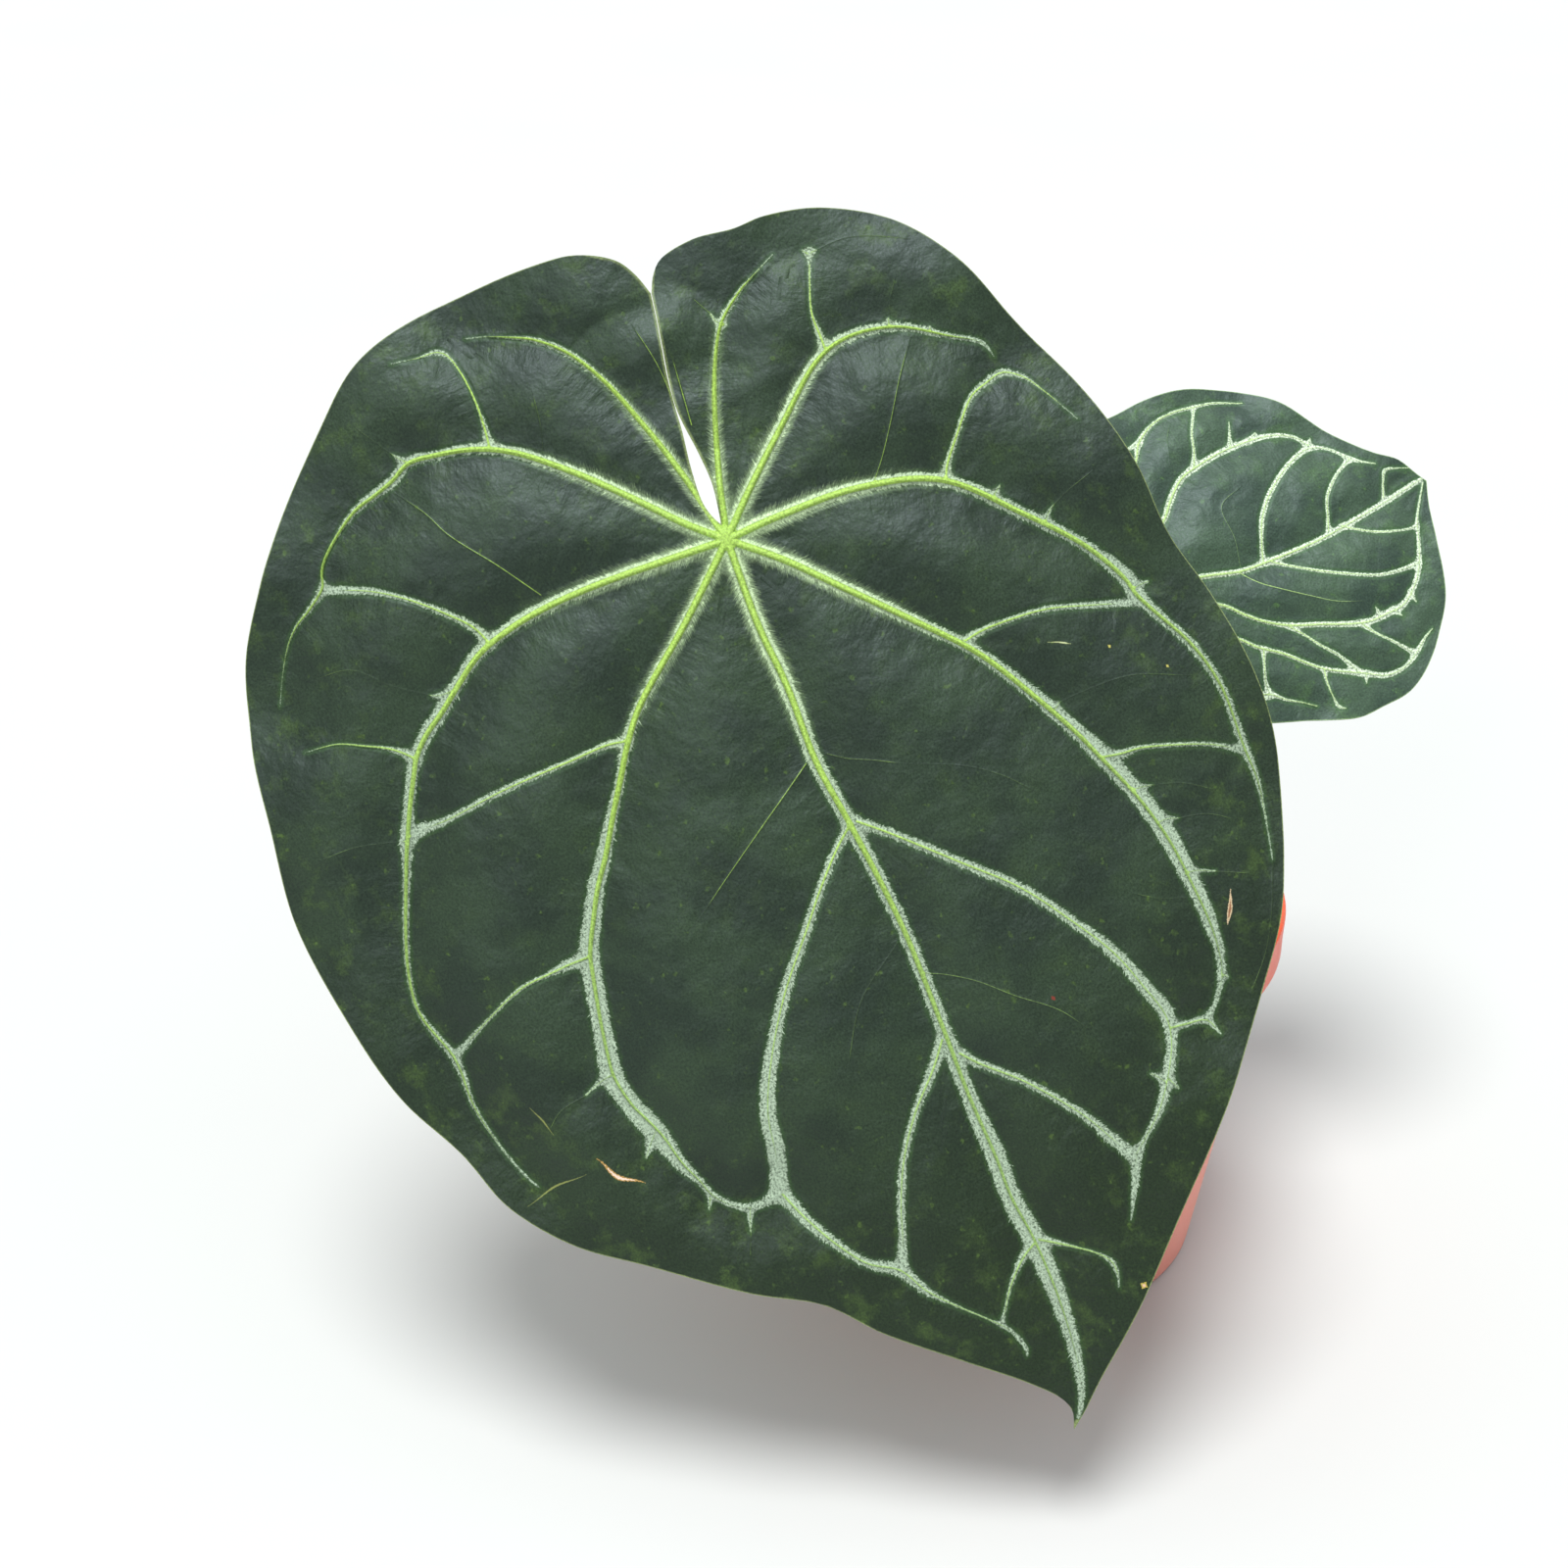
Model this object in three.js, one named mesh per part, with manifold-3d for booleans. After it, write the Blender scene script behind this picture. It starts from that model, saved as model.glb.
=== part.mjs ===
// Potted Anthurium magnificum: one very large velvet leaf, one smaller leaf behind it, a short
// crown in potting mix, and a tapered plastic nursery pot.
// Units are millimetres, +Z is up, and the origin is the centre of the pot's flat underside.
// A blade is drawn in its own frame: x runs from the petiole to the tip, y goes across it, to the
// right of someone who faces the upper side with the tip down, and z comes out of the upper side.
import * as THREE from "three";
import { mergeVertices } from "three/addons/utils/BufferGeometryUtils.js";
import Module from "manifold-3d";

const wasm = await Module();
wasm.setup();

const GAP = 0.3; // air left between two pieces that rest on each other
const TURN = 2 * Math.PI;

// Pot
const POT_HEIGHT = 145;
const POT_TOP_RADIUS = 85; // outside of the collar
const POT_BASE_RADIUS = 64;
const POT_WALL = 2.2;
const POT_FLOOR = 3;
const COLLAR_HEIGHT = 16;
const COLLAR_STEP = 3.6; // how far the collar stands out of the wall
const BASE_ROUNDING = 3;
const LIP_ROUNDING = 1.4;
const POT_SEGMENTS = 48;
const DRAIN_HOLES = 8;
const DRAIN_RADIUS = 4.5;
const DRAIN_CIRCLE = 42;

// Potting mix
const MIX_LEVEL = 124;
const MIX_SEGMENTS = 36;
const MIX_RINGS = 6;
const MIX_CLEARANCE = 0.7; // to the pot's wall, whose facets don't line up with the mix's
const MIX_EDGE_DROP = 2.5; // the surface falls away where it meets the wall
const CHUNKS = 26;
const CHUNK_SIZE = [3.2, 6.5];
const CHUNK_LIFT = 0.15; // share of its size by which a chunk's middle stands over the surface
const CHUNK_BAND = [17, 8]; // clear of the crown's axis, and of the wall
const HOLE_CLEARANCE = 0.5; // round the crown and its roots

// Crown: the short thick stem that every leaf grows from
const CROWN_X = 2;
const CROWN_Y = 6;
const CROWN_BOTTOM = 98;
const CROWN_TOP = 152;
const CROWN_RADIUS = 10.5;
const CROWN_SWAY = 1; // how far its axis bends sideways half-way up
const SCAR_SPACING = 8.5;
const SCAR_DEPTH = 0.9;
const CROWN_LOBING = 0.5; // three shallow flutes down the stem
const ROOT_RADIUS = 2.3;
const ROOT_TAPER = 0.25; // share of its radius that a root loses on its way down
const ROOT_START = 129;
const ROOT_STEP = 1.5; // each root leaves the crown a little higher than the one before
const ROOT_REACH = [19, 27]; // from the crown's axis to where a root enters the mix
const ROOT_BEARINGS = [-150, -95, -35, 30, 172];

// Cataphylls: the dry sheaths that stay round the crown. Bearing in degrees, and height above it.
const CATAPHYLLS = [
  { bearing: -73, height: 52 },
  { bearing: 14, height: 40 },
  { bearing: 211, height: 34 },
];
const CATAPHYLL_THICKNESS = 0.9;
const CATAPHYLL_FOOT = 137;
const CATAPHYLL_SINK = 2; // how deep the foot starts inside the crown
const CATAPHYLL_FLARE = 5; // how far the foot spreads out before the sheath rises
const CATAPHYLL_LEAN = 0.14; // how far the tip leans out, as a share of the height
const CATAPHYLL_HALF_ANGLE = 0.5;

// Veins are lists of points from root to end. width is the rib's width at its root and at its end,
// and rise is how far it stands out of the underside at its root. boss is the swelling round the
// petiole. Points lie outlineStep apart on the margin, innerStep in the sinus, fillStep between.
const LARGE_LEAF = {
  attachment: [-107.3, -39.1, 292.7],
  yaw: 0,
  lean: 29.7,
  roll: 21.1,
  length: 296.5,
  lobeLength: 101,
  halfWidth: 165,
  thickness: 1.1,
  droop: { side: 20, tip: 20, lobe: 9 },
  billow: { height: 4.2, reach: 15 },
  wave: { height: 2.6, length: 62, reach: 24 },
  bossRadius: 6,
  outlineStep: 7,
  innerStep: 2.6,
  fillStep: 12,
  margin: {
    rightInner: [
      [-5, 0], [-10, 0.9], [-18, 1.9], [-29, 1.3], [-38, 0.4], [-44, 0.5], [-53, 1.5], [-62, 3.2],
      [-70, 4.5], [-79, 6],
    ],
    rightOuter: [
      [-79, 6], [-84, 8], [-88, 12], [-90, 23], [-88.5, 36], [-89, 46], [-85.5, 64], [-75, 82.5],
      [-57, 96], [-33, 106.5], [-7, 118], [22, 125.5], [45, 128], [68, 134], [99, 138],
      [119, 137], [143, 130], [166, 120], [189, 105], [210, 88], [240, 60], [263, 37.5],
      [284.5, 14.5], [292, 7], [296.5, 1.5],
    ],
    leftOuter: [
      [296.5, 1.5], [291, 3], [286, 1.5], [276, -7], [262, -23], [245, -43], [230, -57], [219, -76],
      [201, -102], [186, -123], [168, -138], [148, -146], [126, -157], [96, -164], [62, -169],
      [30, -164], [4, -161], [-19, -154], [-39, -140], [-63, -121], [-79, -104], [-92, -87],
      [-99, -66], [-101, -44], [-100, -24], [-98, -12], [-92, -1], [-86, 3], [-79, 5],
    ],
    leftInner: [
      [-79, 5], [-70, 3.6], [-62, 2.2], [-53, 0.5], [-43, -0.6], [-36, -1.2], [-24, -2.4],
      [-13, -2.8], [-8, -1.5], [-5, 0],
    ],
  },
  primaries: {
    width: [4.2, 1.4],
    rise: 2.8,
    lines: {
      midrib: [
        [0, 0], [30, 1], [77, 4], [112, 6], [146, 8.5], [177, 8.6], [211, 9], [237, 12],
        [257, 12.6], [278, 10], [292, 4.6],
      ],
      left1: [[0, 0], [-8, -3], [-31, -9], [-51, -15], [-71, -24], [-79, -32], [-84, -42], [-88, -53]],
      left2: [
        [0, 0], [-14, -16], [-36, -38], [-45, -45], [-53, -56], [-57, -71], [-58, -85], [-54, -92],
        [-47, -110], [-34, -123], [-23, -137], [-3, -149], [14, -153],
      ],
      left3: [
        [0, 0], [0, -21], [-3, -60], [-1, -76], [8, -89], [21, -107], [25, -114], [35, -119],
        [49, -125], [67, -134], [80, -139], [106, -141], [118, -136], [136, -136], [156, -131],
        [165, -127],
      ],
      left4: [
        [0, 0], [18, -19], [47, -51], [76, -70], [102, -85], [115, -87], [128, -89], [148, -89],
        [173, -83], [185, -79], [191, -74], [195, -67], [194, -59],
      ],
      right1: [[0, 0], [-17, 3], [-44, 13], [-57, 19], [-67, 27], [-74, 39], [-78, 48]],
      right2: [
        [0, 0], [-13, 15], [-34, 38], [-43, 49], [-45, 60], [-44, 70], [-37, 81], [-27, 95],
        [-22, 96],
      ],
      right3: [
        [0, 0], [-1, 19], [0, 48], [5, 67], [18, 81], [36, 99], [46, 106], [60, 111], [81, 122],
        [101, 127], [121, 128], [146, 125], [161, 121],
      ],
      right4: [
        [0, 0], [9, 13], [30, 32], [55, 58], [77, 70], [101, 82], [124, 91], [147, 96], [164, 98],
        [180, 95], [190, 87],
      ],
    },
  },
  secondaries: {
    width: [2, 1],
    rise: 1.2,
    lines: {
      midribLeft: [
        [96, 5], [113, -15], [131, -31], [148, -42], [160, -49], [174, -54], [189, -55], [194, -59],
      ],
      lowerArch: [[194, -59], [206, -53], [224, -39], [234, -27], [248, -16], [261, -5], [267, -4]],
      midribLow: [[163, 7], [180, -7], [189, -14], [202, -21], [216, -26], [227, -31]],
      midribTip: [[236, 11], [242, 2], [249, -4], [255, -8]],
      midribRight: [
        [94, 5], [111, 26], [133, 49], [158, 66], [177, 72], [187, 74], [205, 66], [221, 49],
        [242, 40],
      ],
      midribSide: [[175, 9], [188, 25], [206, 39], [220, 49]],
      tipSpur: [[235, 12], [247, 27], [251, 32], [257, 30]],
      left2Loop: [[-53, -57], [-69, -57], [-86, -61], [-88, -74], [-87, -84]],
      left3Loop: [[-1, -76], [-12, -89], [-27, -109], [-32, -121]],
      left3Side: [[25, -114], [14, -137], [14, -151]],
      leftBridge: [[47, -51], [46, -85], [48, -101], [49, -124]],
      leftLowBridge: [[103, -85], [104, -106], [109, -118], [117, -135]],
      right2Loop: [[-45, 50], [-53, 49], [-63, 51], [-72, 55]],
      right3Loop: [[5, 69], [-11, 82], [-20, 96], [-12, 104], [8, 116]],
      right4Loop: [[55, 58], [53, 83], [56, 94], [61, 110]],
      right4Side: [[103, 83], [105, 100], [112, 119], [117, 126]],
      rightHook: [[189, 75], [190, 85], [196, 87]],
    },
  },
};

const SMALL_LEAF = {
  attachment: [17.5, 47, 231.8],
  yaw: 8,
  lean: 44,
  roll: 106.2,
  length: 139.5,
  lobeLength: 42,
  halfWidth: 70,
  thickness: 0.9,
  droop: { side: 7, tip: 8, lobe: 2 },
  billow: { height: 2.2, reach: 8 },
  wave: { height: 1.5, length: 36, reach: 12 },
  bossRadius: 4.5,
  outlineStep: 5.5,
  innerStep: 2,
  fillStep: 9,
  margin: {
    rightInner: [[-4, 0], [-9, 1.2], [-18, 1.2], [-27, 2.5], [-32, 5]],
    rightOuter: [
      [-32, 5], [-40, 14], [-41, 26], [-34, 38], [-21, 48], [-4, 55], [18, 60], [38, 63], [50, 65],
      [64, 64.5], [77, 61.5], [89, 56], [98, 48], [112, 29.5], [123, 18], [132, 12], [139.5, 2],
    ],
    leftOuter: [
      [139.5, 2], [135.5, -8], [132, -21], [125.5, -42.5], [112, -59.5], [100, -68], [88, -70], [75, -71],
      [56, -65], [38, -61], [18, -59], [-3, -55], [-22, -48], [-36, -36], [-42, -22], [-40, -9],
      [-33, -2],
    ],
    leftInner: [[-33, -2], [-27, -0.6], [-18, -0.9], [-9, -1.2], [-4, 0]],
  },
  primaries: {
    width: [2.8, 1],
    rise: 1.8,
    lines: {
      midrib: [[0, 0], [22, -3], [43, -5.5], [67, -7], [95, -4], [123, 1], [138, 3]],
      upper1: [[0, 0], [18, 8], [37, 19], [47, 29], [59, 35], [74, 38], [94, 36], [103, 28]],
      upper2: [[0, 0], [16, 22], [34, 41], [54, 56], [68, 57], [87, 52]],
      upper3: [[0, 0], [-6, 16], [-8, 30], [0, 42], [14, 51]],
      upper4: [[0, 0], [-14, 8], [-25, 18], [-28, 30]],
      lower1: [
        [0, 0], [20, -8], [44, -17], [61, -31], [84, -38], [105, -39], [121, -30], [126, -19],
        [131, -8], [137, 0],
      ],
      lower2: [[0, 0], [22, -15], [46, -30], [67, -47], [86, -57], [101, -59], [117, -50]],
      lower3: [[0, 0], [6, -18], [18, -36], [34, -49], [60, -60]],
      lower4: [[0, 0], [-10, -14], [-20, -26], [-20, -38]],
    },
  },
  secondaries: {
    width: [1.5, 0.8],
    rise: 0.8,
    lines: {
      midribUp: [[66, -7], [74, 8], [84, 19], [95, 26], [103, 28], [115, 18], [122, 14]],
      midribUpTip: [[95, -4], [98, 5], [105, 13], [115, 18]],
      midribDown: [[70, -7], [81, -15], [104, -25], [122, -26]],
      midribDownTip: [[101, -4], [111, -9], [128, -13]],
      lowerBridge: [[64, -33], [75, -44], [85, -56]],
      lowerBridgeTip: [[91, -39], [98, -48], [107, -56]],
      upperSpur: [[59, 36], [62, 46], [67, 56]],
    },
  },
};

// Petioles, from inside the crown to the back of the blade. The last point is worked out from the
// blade, so these are the points before it.
const LARGE_PETIOLE = {
  points: [[-3, 8, 138], [-15, 14, 172], [-42, 23, 218], [-74, 24, 260], [-97, 9, 283], [-105, -13, 289]],
  radius: 3.5,
  baseRadius: 5,
  kneeRadius: 4.1,
  kneeLength: 22,
  step: 8,
};
const SMALL_PETIOLE = {
  points: [[4, 10, 138], [7, 28, 166], [7, 54, 197], [11, 66, 216]],
  radius: 2.5,
  baseRadius: 3.8,
  kneeRadius: 3,
  kneeLength: 14,
  step: 7,
};
const PETIOLE_SIDES = 12;
const PETIOLE_SEAT = 2.5; // where it meets the blade: along the midrib from the foot of the sinus
const PETIOLE_FOOT_LENGTH = 30;
const PETIOLE_FACING = new THREE.Vector3(0.9, 0.4, 0); // lies across both stalks all the way up
const KNEE_BLEND = 0.6; // share of the knee's length over which the stalk swells to it
const WING = 0.16; // how far the four edges of a petiole stand out, as a share of its radius

// Underside of a blade
const RIB_FADE = 0.7; // share of its rise that a rib loses from root to end
const BOSS_CENTRE = 1.5; // along the midrib from the foot of the sinus
const BOSS_SIDES = 8;
const BOSS_RINGS = [[0.5, 1], [1, 0.6]]; // each ring's share of the boss's radius and of its rise

// Shared geometry

// A closed mesh whose faces all point outwards, from shared vertices.
function closedGeometry(positions, index) {
  let volume = 0;
  const corner = (i) => new THREE.Vector3().fromArray(positions, 3 * i);
  for (let i = 0; i < index.length; i += 3) {
    const [a, b, c] = [corner(index[i]), corner(index[i + 1]), corner(index[i + 2])];
    volume += a.dot(b.cross(c));
  }
  if (volume < 0) index.reverse();
  const geometry = new THREE.BufferGeometry();
  geometry.setAttribute("position", new THREE.Float32BufferAttribute(positions, 3));
  geometry.setIndex(index);
  return geometry;
}

// Joins rings of points, all with the same number of points, and closes both ends.
function loft(rings) {
  const sides = rings[0].length;
  const positions = rings.flat().flatMap((p) => [p.x, p.y, p.z]);
  const index = [];
  for (let k = 0; k + 1 < rings.length; k++)
    for (let i = 0; i < sides; i++) {
      const [a, b] = [k * sides + i, k * sides + ((i + 1) % sides)];
      index.push(a, b, b + sides, a, b + sides, a + sides);
    }
  for (const [ring, first, flip] of [
    [rings[0], 0, true],
    [rings.at(-1), (rings.length - 1) * sides, false],
  ]) {
    const middle = ring.reduce((sum, p) => sum.add(p), new THREE.Vector3()).divideScalar(sides);
    const centre = positions.length / 3;
    positions.push(middle.x, middle.y, middle.z);
    for (let i = 0; i < sides; i++) {
      const [a, b] = [first + i, first + ((i + 1) % sides)];
      index.push(...(flip ? [b, a, centre] : [a, b, centre]));
    }
  }
  return closedGeometry(positions, index);
}

// A tube along a smooth path. radiusAt(t, angle) gives the distance from the path, and facing is a
// direction that stays roughly across the tube, so that it doesn't twist. Both ends run past the
// path by extra.
function tube(path, steps, sides, facing, radiusAt, extra = 0) {
  const rings = [];
  for (let k = 0; k <= steps; k++) {
    const t = k / steps;
    const along = path.getTangentAt(t);
    const past = k === steps ? extra : k ? 0 : -extra;
    const centre = path.getPointAt(t).addScaledVector(along, past);
    const side = new THREE.Vector3().crossVectors(along, facing).normalize();
    const front = new THREE.Vector3().crossVectors(side, along);
    rings.push(
      Array.from({ length: sides }, (_, i) => {
        const angle = (i / sides) * TURN;
        const reach = radiusAt(t, angle);
        return centre
          .clone()
          .addScaledVector(side, reach * Math.cos(angle))
          .addScaledVector(front, reach * Math.sin(angle));
      }),
    );
  }
  return loft(rings);
}

function toSolid(geometry) {
  const bare = geometry.clone();
  bare.deleteAttribute("normal");
  bare.deleteAttribute("uv");
  const merged = mergeVertices(bare, 1e-4);
  return new wasm.Manifold(
    new wasm.Mesh({
      numProp: 3,
      vertProperties: merged.attributes.position.array,
      triVerts: new Uint32Array(merged.index.array),
    }),
  );
}

function toGeometry(solid) {
  const mesh = solid.getMesh();
  const geometry = new THREE.BufferGeometry();
  geometry.setAttribute("position", new THREE.BufferAttribute(mesh.vertProperties, 3));
  geometry.setIndex(new THREE.BufferAttribute(mesh.triVerts, 1));
  return geometry;
}

// A small repeatable random source.
function randomFrom(seed) {
  let state = seed;
  return () => {
    state = (state * 1664525 + 1013904223) % 4294967296;
    return state / 4294967296;
  };
}

const bearingPoint = (degrees, radius, z) => {
  const angle = THREE.MathUtils.degToRad(degrees);
  return new THREE.Vector3(radius * Math.cos(angle), radius * Math.sin(angle), z);
};

const smooth = THREE.MathUtils.smoothstep;

// Pot

const wallTop = POT_HEIGHT - COLLAR_HEIGHT;
const wallTopRadius = POT_TOP_RADIUS - COLLAR_STEP;
const outerRadius = (z) => THREE.MathUtils.lerp(POT_BASE_RADIUS, wallTopRadius, z / wallTop);
const innerRadius = (z) => outerRadius(z) - POT_WALL;

// A rounded corner of the pot's section: three points round a centre, between two angles in degrees.
const rounded = (radius, z, rounding, from, to) =>
  [from, (from + to) / 2, to].map((degrees) => {
    const angle = THREE.MathUtils.degToRad(degrees);
    return [radius + rounding * Math.cos(angle), z + rounding * Math.sin(angle)];
  });

function pot() {
  const [lip, lipCentre] = [LIP_ROUNDING, POT_TOP_RADIUS - LIP_ROUNDING];
  const profile = [
    [0, 0],
    ...rounded(outerRadius(BASE_ROUNDING) - BASE_ROUNDING, BASE_ROUNDING, BASE_ROUNDING, -90, 0),
    [outerRadius(wallTop), wallTop],
    ...rounded(lipCentre, wallTop + lip, lip, -90, 0),
    ...rounded(lipCentre, POT_HEIGHT - lip, lip, 0, 90),
    ...rounded(innerRadius(POT_HEIGHT) + lip, POT_HEIGHT - lip, lip, 90, 180),
    [innerRadius(POT_FLOOR), POT_FLOOR],
    [0, POT_FLOOR],
  ].map(([radius, z]) => new THREE.Vector2(radius, z));
  let shell = toSolid(new THREE.LatheGeometry(profile, POT_SEGMENTS).rotateX(Math.PI / 2));
  for (let i = 0; i < DRAIN_HOLES; i++) {
    const at = bearingPoint((i * 360) / DRAIN_HOLES, DRAIN_CIRCLE, POT_FLOOR / 2);
    const drill = new THREE.CylinderGeometry(DRAIN_RADIUS, DRAIN_RADIUS, 3 * POT_FLOOR, 16);
    shell = shell.subtract(toSolid(drill.rotateX(Math.PI / 2).translate(at.x, at.y, at.z)));
  }
  return toGeometry(shell);
}

// Crown

// The crown with its aerial roots. grow makes it a little larger, for the hole that it stands in.
function crownSolid(grow = 0) {
  const axis = new THREE.CatmullRomCurve3([
    new THREE.Vector3(CROWN_X, CROWN_Y, CROWN_BOTTOM),
    new THREE.Vector3(CROWN_X + CROWN_SWAY, CROWN_Y - CROWN_SWAY, (CROWN_BOTTOM + CROWN_TOP) / 2),
    new THREE.Vector3(CROWN_X, CROWN_Y, CROWN_TOP),
  ]);
  const height = CROWN_TOP - CROWN_BOTTOM;
  const stemRadius = (t, angle) => {
    const scars = SCAR_DEPTH * Math.cos((t * height * TURN) / SCAR_SPACING + Math.sin(angle));
    const flutes = CROWN_LOBING * Math.cos(3 * angle);
    const domed = Math.sqrt(1 - 0.85 * smooth(t, 0.8, 1) ** 2);
    return (CROWN_RADIUS + scars + flutes) * domed + grow;
  };
  let solid = toSolid(tube(axis, 14, 16, new THREE.Vector3(0, 1, 0), stemRadius, grow));
  ROOT_BEARINGS.forEach((bearing, i) => {
    const start = ROOT_START + ROOT_STEP * (i % 3);
    const reach = THREE.MathUtils.lerp(...ROOT_REACH, ((2 * i) % 3) / 2);
    const path = new THREE.CatmullRomCurve3(
      [
        bearingPoint(bearing, CROWN_RADIUS / 2, start - 1),
        bearingPoint(bearing, CROWN_RADIUS + 2, start + 1),
        bearingPoint(bearing + 4, reach - 1, MIX_LEVEL + 2 * ROOT_RADIUS),
        bearingPoint(bearing + 5, reach + 2, MIX_LEVEL - 3 * ROOT_RADIUS),
      ].map((p) => p.add(new THREE.Vector3(CROWN_X, CROWN_Y, 0))),
    );
    const taper = (t) => ROOT_RADIUS * (1 - ROOT_TAPER * t) + grow;
    const sideways = bearingPoint(bearing + 90, 1, 0);
    solid = solid.add(toSolid(tube(path, 7, 8, sideways, taper, grow)));
  });
  return solid;
}

// Potting mix

// Height of the mix: long swells with finer crumbs on them.
function mixSurface(x, y) {
  const swell = 1.1 * Math.sin(x / 11 + 1) * Math.cos(y / 13) + 0.9 * Math.sin((x + 2 * y) / 17);
  const crumbs = 0.7 * Math.sin(x / 3.1 + 0.6 * y) * Math.sin(y / 3.7 - 0.4 * x);
  return MIX_LEVEL + swell + crumbs;
}

function pottingMix() {
  const topRadius = innerRadius(MIX_LEVEL) - MIX_CLEARANCE;
  const bottomRadius = innerRadius(POT_FLOOR + GAP) - MIX_CLEARANCE;
  const ring = (radius, height) =>
    Array.from({ length: MIX_SEGMENTS }, (_, i) => {
      const p = bearingPoint((i * 360) / MIX_SEGMENTS, radius, 0);
      return p.setZ(height ?? mixSurface(p.x, p.y));
    });
  const rings = [ring(bottomRadius, POT_FLOOR + GAP)];
  for (let k = 0; k <= MIX_RINGS; k++) {
    const radius = topRadius * (1 - k / (MIX_RINGS + 0.5));
    rings.push(ring(radius, k ? undefined : MIX_LEVEL - MIX_EDGE_DROP));
  }
  let mix = toSolid(loft(rings));
  const random = randomFrom(17);
  const [inner, outer] = CHUNK_BAND;
  for (let i = 0; i < CHUNKS; i++) {
    const size = THREE.MathUtils.lerp(...CHUNK_SIZE, random());
    const radius = THREE.MathUtils.lerp(inner, topRadius - outer, Math.sqrt(random()));
    const at = bearingPoint(360 * random(), radius, 0);
    const chunk = new THREE.IcosahedronGeometry(size, 0)
      .scale(1, 0.6 + 0.3 * random(), 0.45 + 0.2 * random())
      .rotateX(0.5 * (random() - 0.5))
      .rotateZ(TURN * random())
      .translate(at.x, at.y, mixSurface(at.x, at.y) + CHUNK_LIFT * size);
    mix = mix.add(toSolid(chunk));
  }
  return toGeometry(mix.subtract(crownSolid(HOLE_CLEARANCE)));
}

// Cataphylls

// A dry sheath: a curved strip, widest at the crown, that leans out and ends in a point. It starts
// inside the crown, which then cuts its foot to fit.
function cataphyll({ bearing, height }) {
  const rows = 11;
  const across = 6;
  const rings = [];
  for (let k = 0; k <= rows; k++) {
    const t = (k / rows) ** 1.3; // closer rows at the foot, where it flares
    const flare = CATAPHYLL_FLARE * (1 - Math.exp((-height * t) / CATAPHYLL_FLARE));
    const out = CROWN_RADIUS - CATAPHYLL_SINK + flare + CATAPHYLL_LEAN * height * t * t;
    const narrowed = 1 - 0.95 * t ** 1.6; // nearly a point at the tip
    const halfAngle = CATAPHYLL_HALF_ANGLE * narrowed * (CROWN_RADIUS / out);
    const row = (offset) =>
      Array.from({ length: across + 1 }, (_, i) => {
        const turn = THREE.MathUtils.degToRad(bearing) + halfAngle * ((2 * i) / across - 1);
        const radius = out + offset;
        return new THREE.Vector3(
          CROWN_X + radius * Math.cos(turn),
          CROWN_Y + radius * Math.sin(turn),
          CATAPHYLL_FOOT + height * t,
        );
      });
    rings.push([...row(CATAPHYLL_THICKNESS), ...row(0).reverse()]);
  }
  return toGeometry(toSolid(loft(rings)).subtract(crownSolid(GAP)));
}

// Leaves

// The blade's frame: the tip hangs down and the upper side faces -Y, until the blade leans back,
// rolls its tip to the viewer's right and yaws about the vertical, all in degrees.
function leafFrame({ attachment, yaw, lean, roll }) {
  const [turn, tilt, spin] = [yaw, lean, roll].map(THREE.MathUtils.degToRad);
  const right = new THREE.Vector3(Math.cos(turn), Math.sin(turn), 0);
  const normal = new THREE.Vector3(
    Math.sin(turn) * Math.cos(tilt),
    -Math.cos(turn) * Math.cos(tilt),
    Math.sin(tilt),
  );
  const up = new THREE.Vector3().crossVectors(normal, right);
  const along = right.clone().multiplyScalar(Math.sin(spin)).addScaledVector(up, -Math.cos(spin));
  const across = right.clone().multiplyScalar(Math.cos(spin)).addScaledVector(up, Math.sin(spin));
  return new THREE.Matrix4()
    .makeBasis(along, across, normal)
    .setPosition(...attachment);
}

// Evenly spaced points on a smooth open curve through flat points.
function spaced(points, step) {
  const curve = new THREE.CatmullRomCurve3(points.map(([x, y]) => new THREE.Vector3(x, y, 0)));
  return curve.getSpacedPoints(Math.ceil(curve.getLength() / step)).map(({ x, y }) => [x, y]);
}

// The outline, without a repeated last point.
function outlineOf({ margin, outlineStep, innerStep }) {
  const parts = [
    spaced(margin.rightInner, innerStep),
    spaced(margin.rightOuter, outlineStep),
    spaced(margin.leftOuter, outlineStep),
    spaced(margin.leftInner, innerStep),
  ];
  return parts.flatMap((part) => part.slice(0, -1));
}

// The nearest point of a polyline: its distance, and how far along the line it lies, from 0 to 1.
function nearestOn(line, x, y) {
  let best = { distance: Infinity, t: 0 };
  for (let i = 0; i + 1 < line.length; i++) {
    const [[ax, ay], [bx, by]] = [line[i], line[i + 1]];
    const [dx, dy] = [bx - ax, by - ay];
    const share = ((x - ax) * dx + (y - ay) * dy) / (dx * dx + dy * dy);
    const s = THREE.MathUtils.clamp(share, 0, 1);
    const distance = Math.hypot(x - ax - s * dx, y - ay - s * dy);
    if (distance < best.distance) best = { distance, t: (i + s) / (line.length - 1) };
  }
  return best;
}

function isInside(outline, x, y) {
  let inside = false;
  outline.forEach(([ax, ay], i) => {
    const [bx, by] = outline[(i + 1) % outline.length];
    if (ay > y !== by > y && x < ((bx - ax) * (y - ay)) / (by - ay) + ax) inside = !inside;
  });
  return inside;
}

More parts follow.
